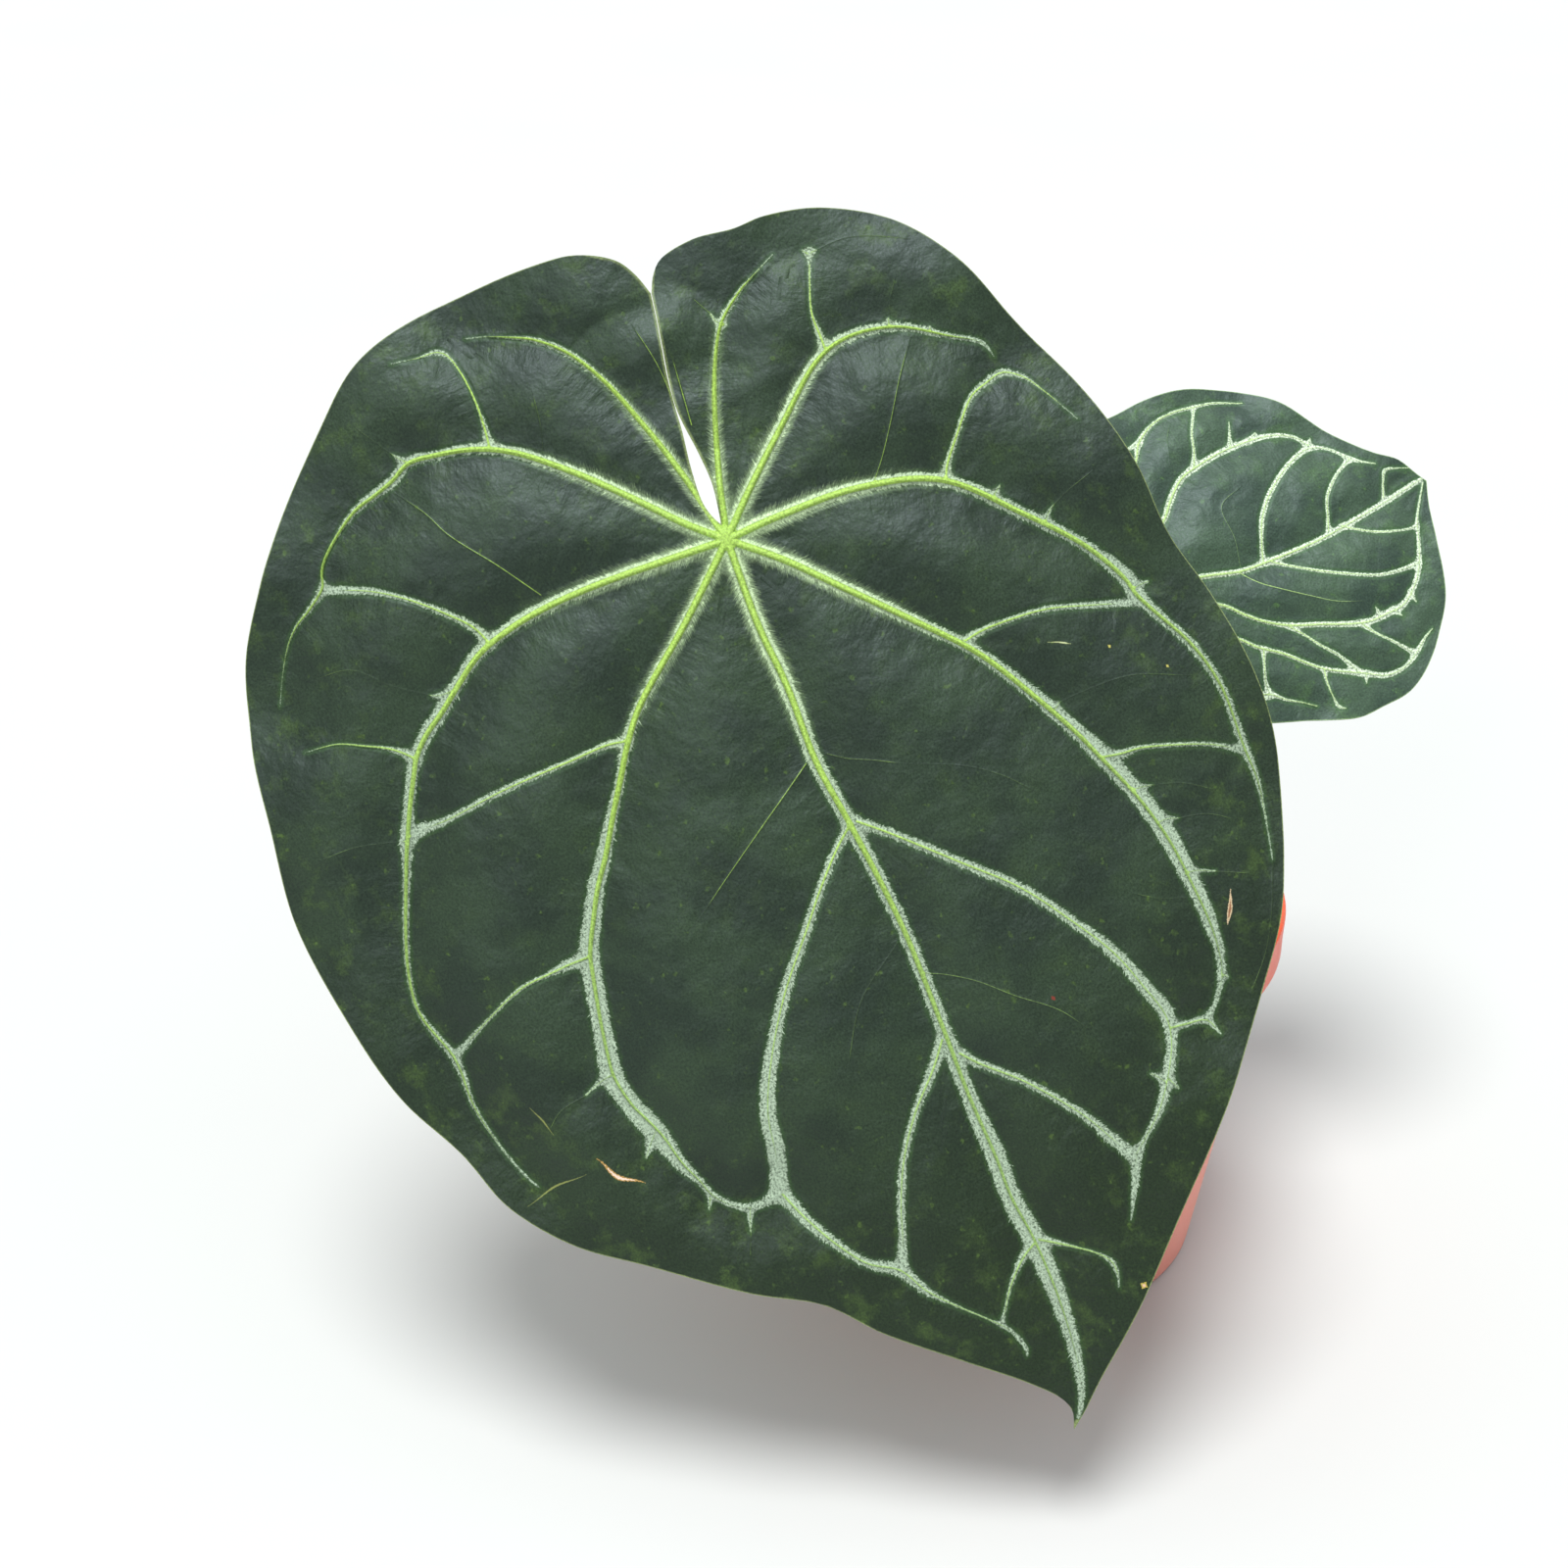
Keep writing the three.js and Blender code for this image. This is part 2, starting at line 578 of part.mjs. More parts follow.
// What a blade's height and points are worked out from: its closed outline, the length round it, and
// its veins, each with the step between its points.
function planOf(leaf) {
  const outline = outlineOf(leaf);
  const loop = [...outline, outline[0]];
  const perimeter = outline.reduce((sum, [x, y], i) => {
    const [nextX, nextY] = loop[i + 1];
    return sum + Math.hypot(nextX - x, nextY - y);
  }, 0);
  const veinsOf = ({ lines, width, rise }, step) =>
    Object.values(lines).map((line) => ({ line, width, rise, step }));
  const primaries = veinsOf(leaf.primaries, leaf.fillStep * 0.8);
  const secondaries = veinsOf(leaf.secondaries, leaf.fillStep * 0.9);
  return { outline, loop, perimeter, primaries, secondaries };
}

// Height of the blade's upper side over its frame: drooping sides, tip and lobes, billows that sink
// to the main veins, and a waved margin.
function bladeHeight(leaf, plan, x, y) {
  const { droop, billow, wave } = leaf;
  const sag =
    droop.side * (y / leaf.halfWidth) ** 2 +
    droop.tip * (Math.max(x, 0) / leaf.length) ** 2 +
    droop.lobe * (Math.min(x, 0) / leaf.lobeLength) ** 2;
  const toVein = Math.min(...plan.primaries.map((vein) => nearestOn(vein.line, x, y).distance));
  const bulge = billow.height * (1 - Math.exp(-((toVein / billow.reach) ** 2)));
  const edge = nearestOn(plan.loop, x, y);
  const waves = plan.perimeter / wave.length;
  const calm = Math.abs(Math.sin(TURN * edge.t)); // none at the sinus and at the tip
  const ripple = wave.height * calm * Math.exp(-edge.distance / wave.reach);
  return bulge - sag + ripple * Math.sin(TURN * waves * edge.t);
}

// Delaunay triangles of flat points, by adding one point after another.
function triangulate(points) {
  const far = 1e4;
  const all = [...points, [-far, -far], [far, -far], [0, far]];
  const circle = (a, b, c) => {
    const [[ax, ay], [bx, by], [cx, cy]] = [all[a], all[b], all[c]];
    const d = 2 * (ax * (by - cy) + bx * (cy - ay) + cx * (ay - by));
    const [a2, b2, c2] = [ax * ax + ay * ay, bx * bx + by * by, cx * cx + cy * cy];
    const x = (a2 * (by - cy) + b2 * (cy - ay) + c2 * (ay - by)) / d;
    const y = (a2 * (cx - bx) + b2 * (ax - cx) + c2 * (bx - ax)) / d;
    return { corners: [a, b, c], x, y, reach: Math.hypot(x - ax, y - ay) };
  };
  let triangles = [circle(points.length, points.length + 1, points.length + 2)];
  points.forEach(([x, y], p) => {
    const edges = new Map();
    const kept = [];
    for (const triangle of triangles) {
      if (Math.hypot(x - triangle.x, y - triangle.y) >= triangle.reach) {
        kept.push(triangle);
        continue;
      }
      const [a, b, c] = triangle.corners;
      for (const [from, to] of [[a, b], [b, c], [c, a]])
        if (!edges.delete(`${to},${from}`)) edges.set(`${from},${to}`, [from, to]);
    }
    triangles = [...kept, ...[...edges.values()].map(([from, to]) => circle(from, to, p))];
  });
  return triangles
    .map((triangle) => triangle.corners)
    .filter((corners) => corners.every((corner) => corner < points.length));
}

// Points of the blade: its outline, each rib's crest and both its feet, and a loose filling.
// Each is [x, y, rise], where rise is how far the underside stands out there.
function bladePoints(leaf, { outline, primaries, secondaries }) {
  const points = outline.map(([x, y]) => [x, y, 0]);
  const edges = outline.map(([ax, ay], i) => {
    const [bx, by] = outline[(i + 1) % outline.length];
    return { x: (ax + bx) / 2, y: (ay + by) / 2, reach: Math.hypot(bx - ax, by - ay) / 2 };
  });
  // A point is left out where it crowds another, or where it would take an edge of the outline away
  // from the triangles.
  const add = (x, y, rise, clearance) => {
    if (!isInside(outline, x, y)) return;
    if (edges.some((edge) => Math.hypot(edge.x - x, edge.y - y) < 1.05 * edge.reach)) return;
    if (points.some(([px, py]) => Math.hypot(px - x, py - y) < clearance)) return;
    points.push([x, y, rise]);
  };
  const { rise: bossRise } = leaf.primaries;
  add(BOSS_CENTRE, 0, bossRise, 1);
  for (const [share, height] of BOSS_RINGS)
    for (let i = 0; i < BOSS_SIDES; i++) {
      const angle = ((i + share) * TURN) / BOSS_SIDES;
      const reach = share * leaf.bossRadius;
      add(BOSS_CENTRE + reach * Math.cos(angle), reach * Math.sin(angle), height * bossRise, 1.4);
    }
  for (const { line, width, rise, step } of [...primaries, ...secondaries]) {
    const stations = spaced(line, step);
    stations.forEach(([x, y], i) => {
      const t = i / (stations.length - 1);
      const [before, after] = [stations[Math.max(i - 1, 0)], stations[i + 1] ?? stations[i]];
      const length = Math.hypot(after[0] - before[0], after[1] - before[1]);
      const [nx, ny] = [(before[1] - after[1]) / length, (after[0] - before[0]) / length];
      const half = THREE.MathUtils.lerp(width[0], width[1], t) / 2;
      add(x, y, rise * (1 - RIB_FADE * t), 2);
      for (const side of [-half, half]) add(x + side * nx, y + side * ny, 0, 0.85 * Math.abs(side));
    });
  }
  const random = randomFrom(5);
  const rowHeight = leaf.fillStep * Math.sqrt(0.75);
  const rows = Math.ceil((leaf.length + leaf.lobeLength) / rowHeight);
  const columns = Math.ceil((2.1 * leaf.halfWidth) / leaf.fillStep);
  for (let row = 0; row <= rows; row++)
    for (let column = 0; column <= columns; column++) {
      const x = row * rowHeight - leaf.lobeLength + random() - 0.5;
      const y = (column - columns / 2 + (row % 2) / 2) * leaf.fillStep + random() - 0.5;
      add(x, y, 0, 0.62 * leaf.fillStep);
    }
  return points;
}

// A blade as one thin solid. Both faces are split into the same triangles, and the ribs stand out
// of the underside.
function blade(leaf) {
  const plan = planOf(leaf);
  const { outline } = plan;
  const points = bladePoints(leaf, plan);
  const triangles = triangulate(points).filter(([a, b, c]) => {
    const middle = (k) => (points[a][k] + points[b][k] + points[c][k]) / 3;
    return isInside(outline, middle(0), middle(1));
  });
  const positions = [];
  const heights = points.map(([x, y]) => bladeHeight(leaf, plan, x, y));
  points.forEach(([x, y], i) => positions.push(x, y, heights[i]));
  points.forEach(([x, y, rise], i) => positions.push(x, y, heights[i] - leaf.thickness - rise));
  const under = points.length;
  const index = triangles.flatMap(([a, b, c]) => [a, b, c, under + c, under + b, under + a]);
  const edges = new Set(triangles.flatMap(([a, b, c]) => [`${a},${b}`, `${b},${c}`, `${c},${a}`]));
  outline.forEach((_, i) => {
    const next = (i + 1) % outline.length;
    const forward = edges.has(`${i},${next}`);
    if (forward === edges.has(`${next},${i}`)) throw new Error(`the margin has a gap at point ${i}`);
    const [from, to] = forward ? [next, i] : [i, next];
    index.push(from, to, under + to, from, under + to, under + from);
  });
  return closedGeometry(positions, index);
}

// A petiole: a four-edged stalk, thicker at its foot, with a rounder swollen knee below the blade.
// Its foot is cut to fit the crown.
function petiole(shape, leaf) {
  const frame = leafFrame(leaf);
  const top = -(leaf.thickness + leaf.primaries.rise + GAP);
  const inLeaf = (depth) => new THREE.Vector3(PETIOLE_SEAT, 0, top - depth).applyMatrix4(frame);
  const stalkPoints = shape.points.map((p) => new THREE.Vector3(...p));
  const points = [...stalkPoints, inLeaf(shape.radius), inLeaf(0)];
  const path = new THREE.CatmullRomCurve3(points);
  const length = path.getLength();
  const radiusAt = (t, angle) => {
    const foot = 1 - smooth(t * length, 0, PETIOLE_FOOT_LENGTH);
    const kneeStart = length - shape.kneeLength;
    const knee = smooth(t * length, kneeStart, kneeStart + KNEE_BLEND * shape.kneeLength);
    const round = shape.radius + (shape.baseRadius - shape.radius) * foot;
    const radius = THREE.MathUtils.lerp(round, shape.kneeRadius, knee);
    return radius * (1 + WING * (1 - knee) * Math.cos(4 * angle));
  };
  const steps = Math.round(length / shape.step);
  const stalk = tube(path, steps, PETIOLE_SIDES, PETIOLE_FACING, radiusAt);
  return toGeometry(toSolid(stalk).subtract(crownSolid(GAP)));
}

// Materials and assembly

const finish = (color, roughness) =>
  new THREE.MeshStandardMaterial({ color, roughness, metalness: 0 });
const FINISHES = {
  pot: finish(0xe2552e, 0.42),
  mix: finish(0x3a2a1e, 0.95),
  crown: finish(0x6f7a45, 0.7),
  dry: finish(0x8a6a3f, 0.85),
  petiole: finish(0x7f9a4c, 0.5),
  largeBlade: finish(0x2b4430, 0.55),
  smallBlade: finish(0x3a5a3c, 0.5),
};

const plant = new THREE.Group();

function place(name, geometry, material, frame) {
  const mesh = new THREE.Mesh(geometry, material);
  mesh.name = name;
  if (frame) mesh.applyMatrix4(frame);
  plant.add(mesh);
}

place("pot", pot(), FINISHES.pot);
place("potting_mix", pottingMix(), FINISHES.mix);
place("crown", toGeometry(crownSolid()), FINISHES.crown);
CATAPHYLLS.forEach((shape, i) => place(`cataphyll_${i + 1}`, cataphyll(shape), FINISHES.dry));
place("large_petiole", petiole(LARGE_PETIOLE, LARGE_LEAF), FINISHES.petiole);
place("small_petiole", petiole(SMALL_PETIOLE, SMALL_LEAF), FINISHES.petiole);
place("large_blade", blade(LARGE_LEAF), FINISHES.largeBlade, leafFrame(LARGE_LEAF));
place("small_blade", blade(SMALL_LEAF), FINISHES.smallBlade, leafFrame(SMALL_LEAF));

export default plant;
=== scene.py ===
# Potted Anthurium magnificum, dressed: fine blades with silver-feathered veins, their stalks, the
# rooted crown with its dry sheaths, the bark mix and the nursery pot.
# Lengths named here are millimetres unless a name says otherwise; MM turns them into metres.
import math

import bmesh
import bpy
import numpy as np
from mathutils import Matrix, Vector
from mathutils.geometry import delaunay_2d_cdt
from mathutils.kdtree import KDTree


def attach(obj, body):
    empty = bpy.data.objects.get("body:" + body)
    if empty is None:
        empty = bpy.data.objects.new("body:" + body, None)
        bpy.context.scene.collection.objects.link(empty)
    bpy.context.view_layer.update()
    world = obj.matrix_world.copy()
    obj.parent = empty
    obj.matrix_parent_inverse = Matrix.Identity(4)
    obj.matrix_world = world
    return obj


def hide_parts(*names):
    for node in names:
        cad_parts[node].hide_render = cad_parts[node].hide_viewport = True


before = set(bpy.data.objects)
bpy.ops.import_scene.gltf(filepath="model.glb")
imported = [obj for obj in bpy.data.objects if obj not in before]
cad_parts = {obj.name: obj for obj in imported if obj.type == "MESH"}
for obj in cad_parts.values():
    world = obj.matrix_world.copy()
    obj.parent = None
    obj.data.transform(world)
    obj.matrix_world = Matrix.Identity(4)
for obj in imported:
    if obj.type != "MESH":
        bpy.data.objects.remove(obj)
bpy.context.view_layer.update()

MM = 0.001
TURN = 2 * math.pi

# Sizes shared with the solids

POT_HEIGHT = 145
POT_TOP_RADIUS = 85
POT_BASE_RADIUS = 64
POT_WALL = 2.2
POT_FLOOR = 3
COLLAR_HEIGHT = 16
COLLAR_STEP = 3.6
BASE_ROUNDING = 3
LIP_ROUNDING = 1.4
DRAIN_HOLES = 8
DRAIN_RADIUS = 4.5
DRAIN_CIRCLE = 42

MIX_LEVEL = 124
MIX_CLEARANCE = 0.7
MIX_EDGE_DROP = 2.5
CHUNKS = 26
CHUNK_SIZE = (3.2, 6.5)
CHUNK_BAND = (17, 8)
SMALL_CHIPS = 520
PERLITE_GRAINS = 150
COIR_FIBRES = 130
MOSS_TUFTS = 46
SEEDS = {"chunks": 17, "small chips": 91, "perlite": 7, "coir": 23, "moss": 41}

CROWN = (2, 6)
CROWN_BOTTOM = 98
CROWN_TOP = 152
CROWN_RADIUS = 10.5
SCAR_SPACING = 8.5
ROOT_RADIUS = 2.3
ROOT_START = 129
ROOT_STEP = 1.5
ROOT_REACH = (19, 27)
ROOT_BEARINGS = (-150, -95, -35, 30, 172)

SHEATHS = {"cataphyll_1": (-73, 52), "cataphyll_2": (14, 40), "cataphyll_3": (211, 34)}
SHEATH_FOOT = 137
SHEATH_FLARE = 5
SHEATH_LEAN = 0.14
SHEATH_HALF_ANGLE = 0.5
SHEATH_THREADS = 16

WING = 0.16  # how far a stalk's four edges stand out, as a share of its radius
STALKS = {
    "large": {
        "points": [
            (-3, 8, 138), (-15, 14, 172), (-42, 23, 218), (-74, 24, 260), (-97, 9, 283),
            (-105, -13, 289),
        ],
        "radius": 3.5, "base": 5, "knee": 4.1, "knee_length": 22,
    },
    "small": {
        "points": [(4, 10, 138), (7, 28, 166), (7, 54, 197), (11, 66, 216)],
        "radius": 2.5, "base": 3.8, "knee": 3, "knee_length": 14,
    },
}
STALK_SEAT = 2.5  # where it meets the blade, along the midrib from the foot of the sinus
STALK_FACING = (0.9, 0.4, 0)

# The blades. Each is drawn flat: x from the stalk to the tip, y across it, z out of the upper side.
# Veins run from root to end. A point of a vein is x, y and how far its silver reaches to the left
# and to the right of it, or one reach for both sides. core is half the width of a vein's green
# thread at its root and end, and crest how far it stands out of the upper side at its root. width
# and rise are of the rib on the underside. A thread has no silver, but a strength at both ends.

LARGE_RIBS = {
    "midrib": [
        [0, 0, 2.1], [27.5, -0.5, 2.1], [48, 1, 2.3], [73, 1, 2.2, 2.3], [95.5, 4, 2.2], [129, 7.5, 2],
        [162.5, 8, 2.2], [185, 8, 2.2, 2.4], [206.5, 9, 3], [219.5, 9, 2.8, 3], [235.5, 11, 3, 3.3],
        [257.5, 11.5, 2.5], [279, 9.5, 1.4], [288, 7, 0.9], [293.5, 4, 0.5],
    ],
    "left1": [
        [0, 0, 1.2], [-23.5, -5.5, 1.2], [-43, -11.5, 1.1], [-59, -17.5, 0.9], [-71.5, -25, 1],
        [-79.5, -33.5, 0.8, 0.7], [-83, -40, 0.4, 0.2], [-86, -46.5, 0.1], [-88, -53, 0.1],
    ],
    "left2": [
        [0, 0, 1.7], [-9, -10, 1.7], [-23.5, -23.5, 1.8], [-36.5, -36.5, 1.7], [-49, -51.5, 1.5, 1.7],
        [-54, -61.5, 1.2, 1.9], [-57, -73.5, 1.3], [-58, -83, 1.2, 1.8], [-55, -89.5, 1.8, 1.7],
        [-53, -96, 1.2, 1.5], [-51, -103.5, 1, 1.2], [-45.5, -112, 0.5, 0.6], [-39.5, -118.5, 0.2],
        [-36, -120.5, 0.2], [-32.5, -121.5, 1], [-27.5, -128, 0.7, 0.8], [-24.5, -133.5, 0.4, 0.5],
        [-20, -138.5, 0.2], [-12, -144, 0], [-3.5, -148.5, 0],
    ],
    "left3": [
        [0, 0, 1.6, 1.8], [-1.5, -45, 1.6, 2], [-0.5, -62, 1.5, 2.2], [1.5, -73, 1.4, 2.3],
        [5, -83.5, 1.4, 2.3], [11, -92.5, 1.3, 2.3], [17, -100.5, 1.7, 2.5], [22, -108, 2, 2.2],
        [27.5, -113.5, 1.3, 2], [31, -115.5, 1.2, 2.4], [40, -120.5, 1.2, 1.9], [49, -125, 1.9, 2.3],
        [57.5, -129, 1.3], [86, -140, 0.8], [101, -142, 0.7], [118.5, -137, 1.2], [135, -137, 0.6],
        [151.5, -133, 0.3], [161.5, -129, 0.3], [165, -127, 0.2],
    ],
    "left4": [
        [0, 0, 1.6], [19.5, -21.5, 1.5], [37.5, -43, 1.4], [46, -50, 1.2, 1.9], [56, -56.5, 1.3, 1.4],
        [66, -63, 1.4, 2.1], [76.5, -69.5, 1.6, 2.7], [85, -75.5, 1.9, 3], [94, -80.5, 2.2, 3.1],
        [103, -85, 2.6, 3.5], [109, -86.5, 2.6, 3.3], [123, -89.5, 2.9, 2.7], [135, -91.5, 2.9, 3.4],
        [140.5, -92, 2.8, 3.8], [151, -90, 2.7, 3.3], [155.5, -88, 2.7, 3.7], [161, -85.5, 2.3, 4],
        [165.5, -84, 1.9, 3.8], [170, -83, 1.5, 3], [175, -81.5, 1.4, 2.3], [180.5, -79, 0.9, 1.2],
        [186, -77, 0.9], [191, -72.5, 1, 0.8], [193.5, -68, 1.1], [194, -63, 1.3, 1], [193, -59, 2],
    ],
    "right1": [
        [0, 0, 1.3], [-16.5, 4, 1.3], [-40.5, 11.5, 0.8], [-54, 17, 0.7], [-63, 22.5, 1.1, 0.8],
        [-70, 31, 0.6], [-73, 36.5, 0.2], [-77, 44.5, 0.1],
    ],
    "right2": [
        [0, 0, 1.7], [-10.5, 10.5, 1.7], [-27, 28.5, 1.8, 1.7], [-41.5, 45.5, 1.7, 1.8], [-45, 56, 1.6],
        [-43, 71, 1.4, 1.2], [-34.5, 86, 0.8, 0.7], [-29, 95, 0.6, 0.5], [-24, 97, 0.1],
    ],
    "right3": [
        [0, 0, 2.1], [-1, 16.5, 2.1], [-0.5, 43, 1.9], [6, 67.5, 1.8], [24.5, 87.5, 1.8, 1.6],
        [41.5, 103, 1.8, 1.6], [54.5, 110.5, 3, 1.8], [60, 112, 2.5, 2.2], [66, 115, 1.6],
        [80.5, 122.5, 1.4], [96, 126.5, 1.2], [115.5, 127, 1.4, 1.1], [127.5, 127.5, 0.9, 0.8],
        [136.5, 126, 0.3], [152, 122.5, 0.1],
    ],
    "right4": [
        [0, 0, 2], [12, 14, 2], [27, 28.5, 1.9], [44, 45, 1.8], [60, 59.5, 1.8, 1.6],
        [79.5, 71.5, 2.3, 1.6], [93.5, 79, 2.9, 1.7], [101.5, 82.5, 3.6, 1.9], [118, 89.5, 3.2, 2],
        [134, 94, 3.2, 2.5], [150.5, 96, 2.7, 2.1], [163.5, 97, 2.2, 2], [173, 96.5, 1.5, 1.2],
        [179.5, 95, 1.1], [187.5, 89.5, 0.6], [190.5, 86, 1],
    ],
}
LARGE_BRANCHES = {
    "midribLeft": [
        [94, 4, 1.4], [99.5, -2.5, 1.3], [109.5, -12, 1.2], [118.5, -19.5, 1.4], [136, -34, 1.6],
        [154.5, -45.5, 2, 2.2], [168, -51.5, 2.4, 2.3], [181.5, -54, 2.9, 2.4], [193, -57.5, 2.7],
    ],
    "lowerArch": [
        [193.5, -56.5, 2.4], [199.5, -54, 1.8, 2], [204.5, -51.5, 1.5, 1.9], [214, -46, 1.3],
        [222.5, -39.5, 1.3], [228, -31, 1.8], [236.5, -26, 1.1, 1.3], [244, -19.5, 0.3, 0.4],
        [252, -11.5, 0.2], [258.5, -6, 0.5], [266, -3.5, 0.5], [268, -4, 0.2],
    ],
    "midribLow": [
        [166, 6.5, 1.7], [173, 1, 1.5, 1.6], [184, -9.5, 1.1], [196.5, -18, 1.1], [210, -24, 1.1],
        [218, -26.5, 1.1], [227.5, -30.5, 1.8],
    ],
    "midribTip": [
        [236, 10.5, 1.8, 1.5], [239, 5.5, 1, 1.2], [246, -1.5, 0.5], [252, -5.5, 0.4], [255.5, -8, 0.6],
    ],
    "tipSpur": [
        [235.5, 12.5, 1.5, 1.3], [238, 16.5, 0.9], [241.5, 22, 0.3], [246, 28, 0.3], [250, 31, 0.8],
        [255, 31, 0.3, 0.4], [258, 30, 0.1],
    ],
    "midribRight": [
        [94, 6, 1.4], [100, 13, 1.4, 1.3], [117, 31, 1.3], [130.5, 45, 1.4], [145.5, 56, 1.4],
        [160, 65, 1.8, 1.6], [173, 70, 2.2, 1.8], [184.5, 73.5, 2.7, 1.7], [192, 72.5, 1.7, 1.4],
        [201.5, 67.5, 1.7], [210.5, 61, 1.2, 1.1], [217.5, 53.5, 0.7], [220.5, 50, 1.5], [229.5, 46, 1],
        [239.5, 41, 0.1],
    ],
    "midribSide": [
        [172, 10, 1.5], [177, 14.5, 1.2], [186.5, 25, 1.1], [199, 35.5, 1.1, 1.2], [205.5, 40, 1.2],
        [216.5, 46, 1.7], [221.5, 49, 1.7],
    ],
    "left2Loop": [
        [-53.5, -57.5, 1.7], [-58, -57, 0.8, 1], [-66.5, -56.5, 0.3], [-77, -57.5, 0.2], [-85, -60, 0.6],
        [-87, -62.5, 0.8, 0.9], [-87, -68, 0.2], [-88, -76.5, 0.1],
    ],
    "left3Loop": [
        [3, -79, 1.9], [-3.5, -82, 1.2], [-10, -88, 1], [-18.5, -97.5, 0.7], [-25.5, -108, 1],
        [-31.5, -121.5, 1.3],
    ],
    "left3Side": [
        [27.5, -113.5, 1.9], [23.5, -117.5, 1], [21, -121, 0.5], [18, -127, 0.1], [14.5, -134.5, 0.1],
        [13, -145.5, 0],
    ],
    "leftBridge": [
        [46, -50.5, 1.7], [45, -56.5, 1], [45.5, -68, 0.8], [46.5, -91.5, 1], [48.5, -111, 1],
        [48.5, -121, 1.8], [49.5, -125, 2.2],
    ],
    "leftLowBridge": [
        [103.5, -85.5, 1.9], [103.5, -92, 1.7], [104, -99, 0.7], [105, -108.5, 0.6], [111, -123, 0.5],
        [117.5, -136, 1.1],
    ],
    "right2Loop": [
        [-44, 49, 1.7], [-48.5, 49, 1], [-55.5, 49, 0.4], [-65, 52, 0.3], [-71.5, 54.5, 0.6],
        [-74, 55.5, 1.2],
    ],
    "right3Loop": [
        [6.5, 69, 1.9, 1.7], [2.5, 71, 1, 1.1], [-5, 77, 0.7], [-14.5, 85.5, 0.8], [-17, 91.5, 1],
        [-18.5, 97.5, 1.1], [-15, 103, 0.7], [-9, 107, 0.2], [3.5, 113.5, 0.1],
    ],
    "right4Loop": [
        [54.5, 57, 1.4], [53.5, 62.5, 1], [53.5, 72.5, 0.7], [54.5, 83.5, 0.8], [58, 96.5, 0.9],
        [62, 110, 1.1],
    ],
    "right4Side": [
        [103, 84, 1.9], [104, 89.5, 1.2, 1.4], [104.5, 95.5, 0.7], [107.5, 106, 0.6], [112, 118, 0.6],
        [117.5, 127, 1],
    ],
    "rightHook": [
        [188.5, 73.5, 1.5], [189.5, 79, 0.9], [191, 85.5, 1], [196.5, 88, 0.2],
    ],
}
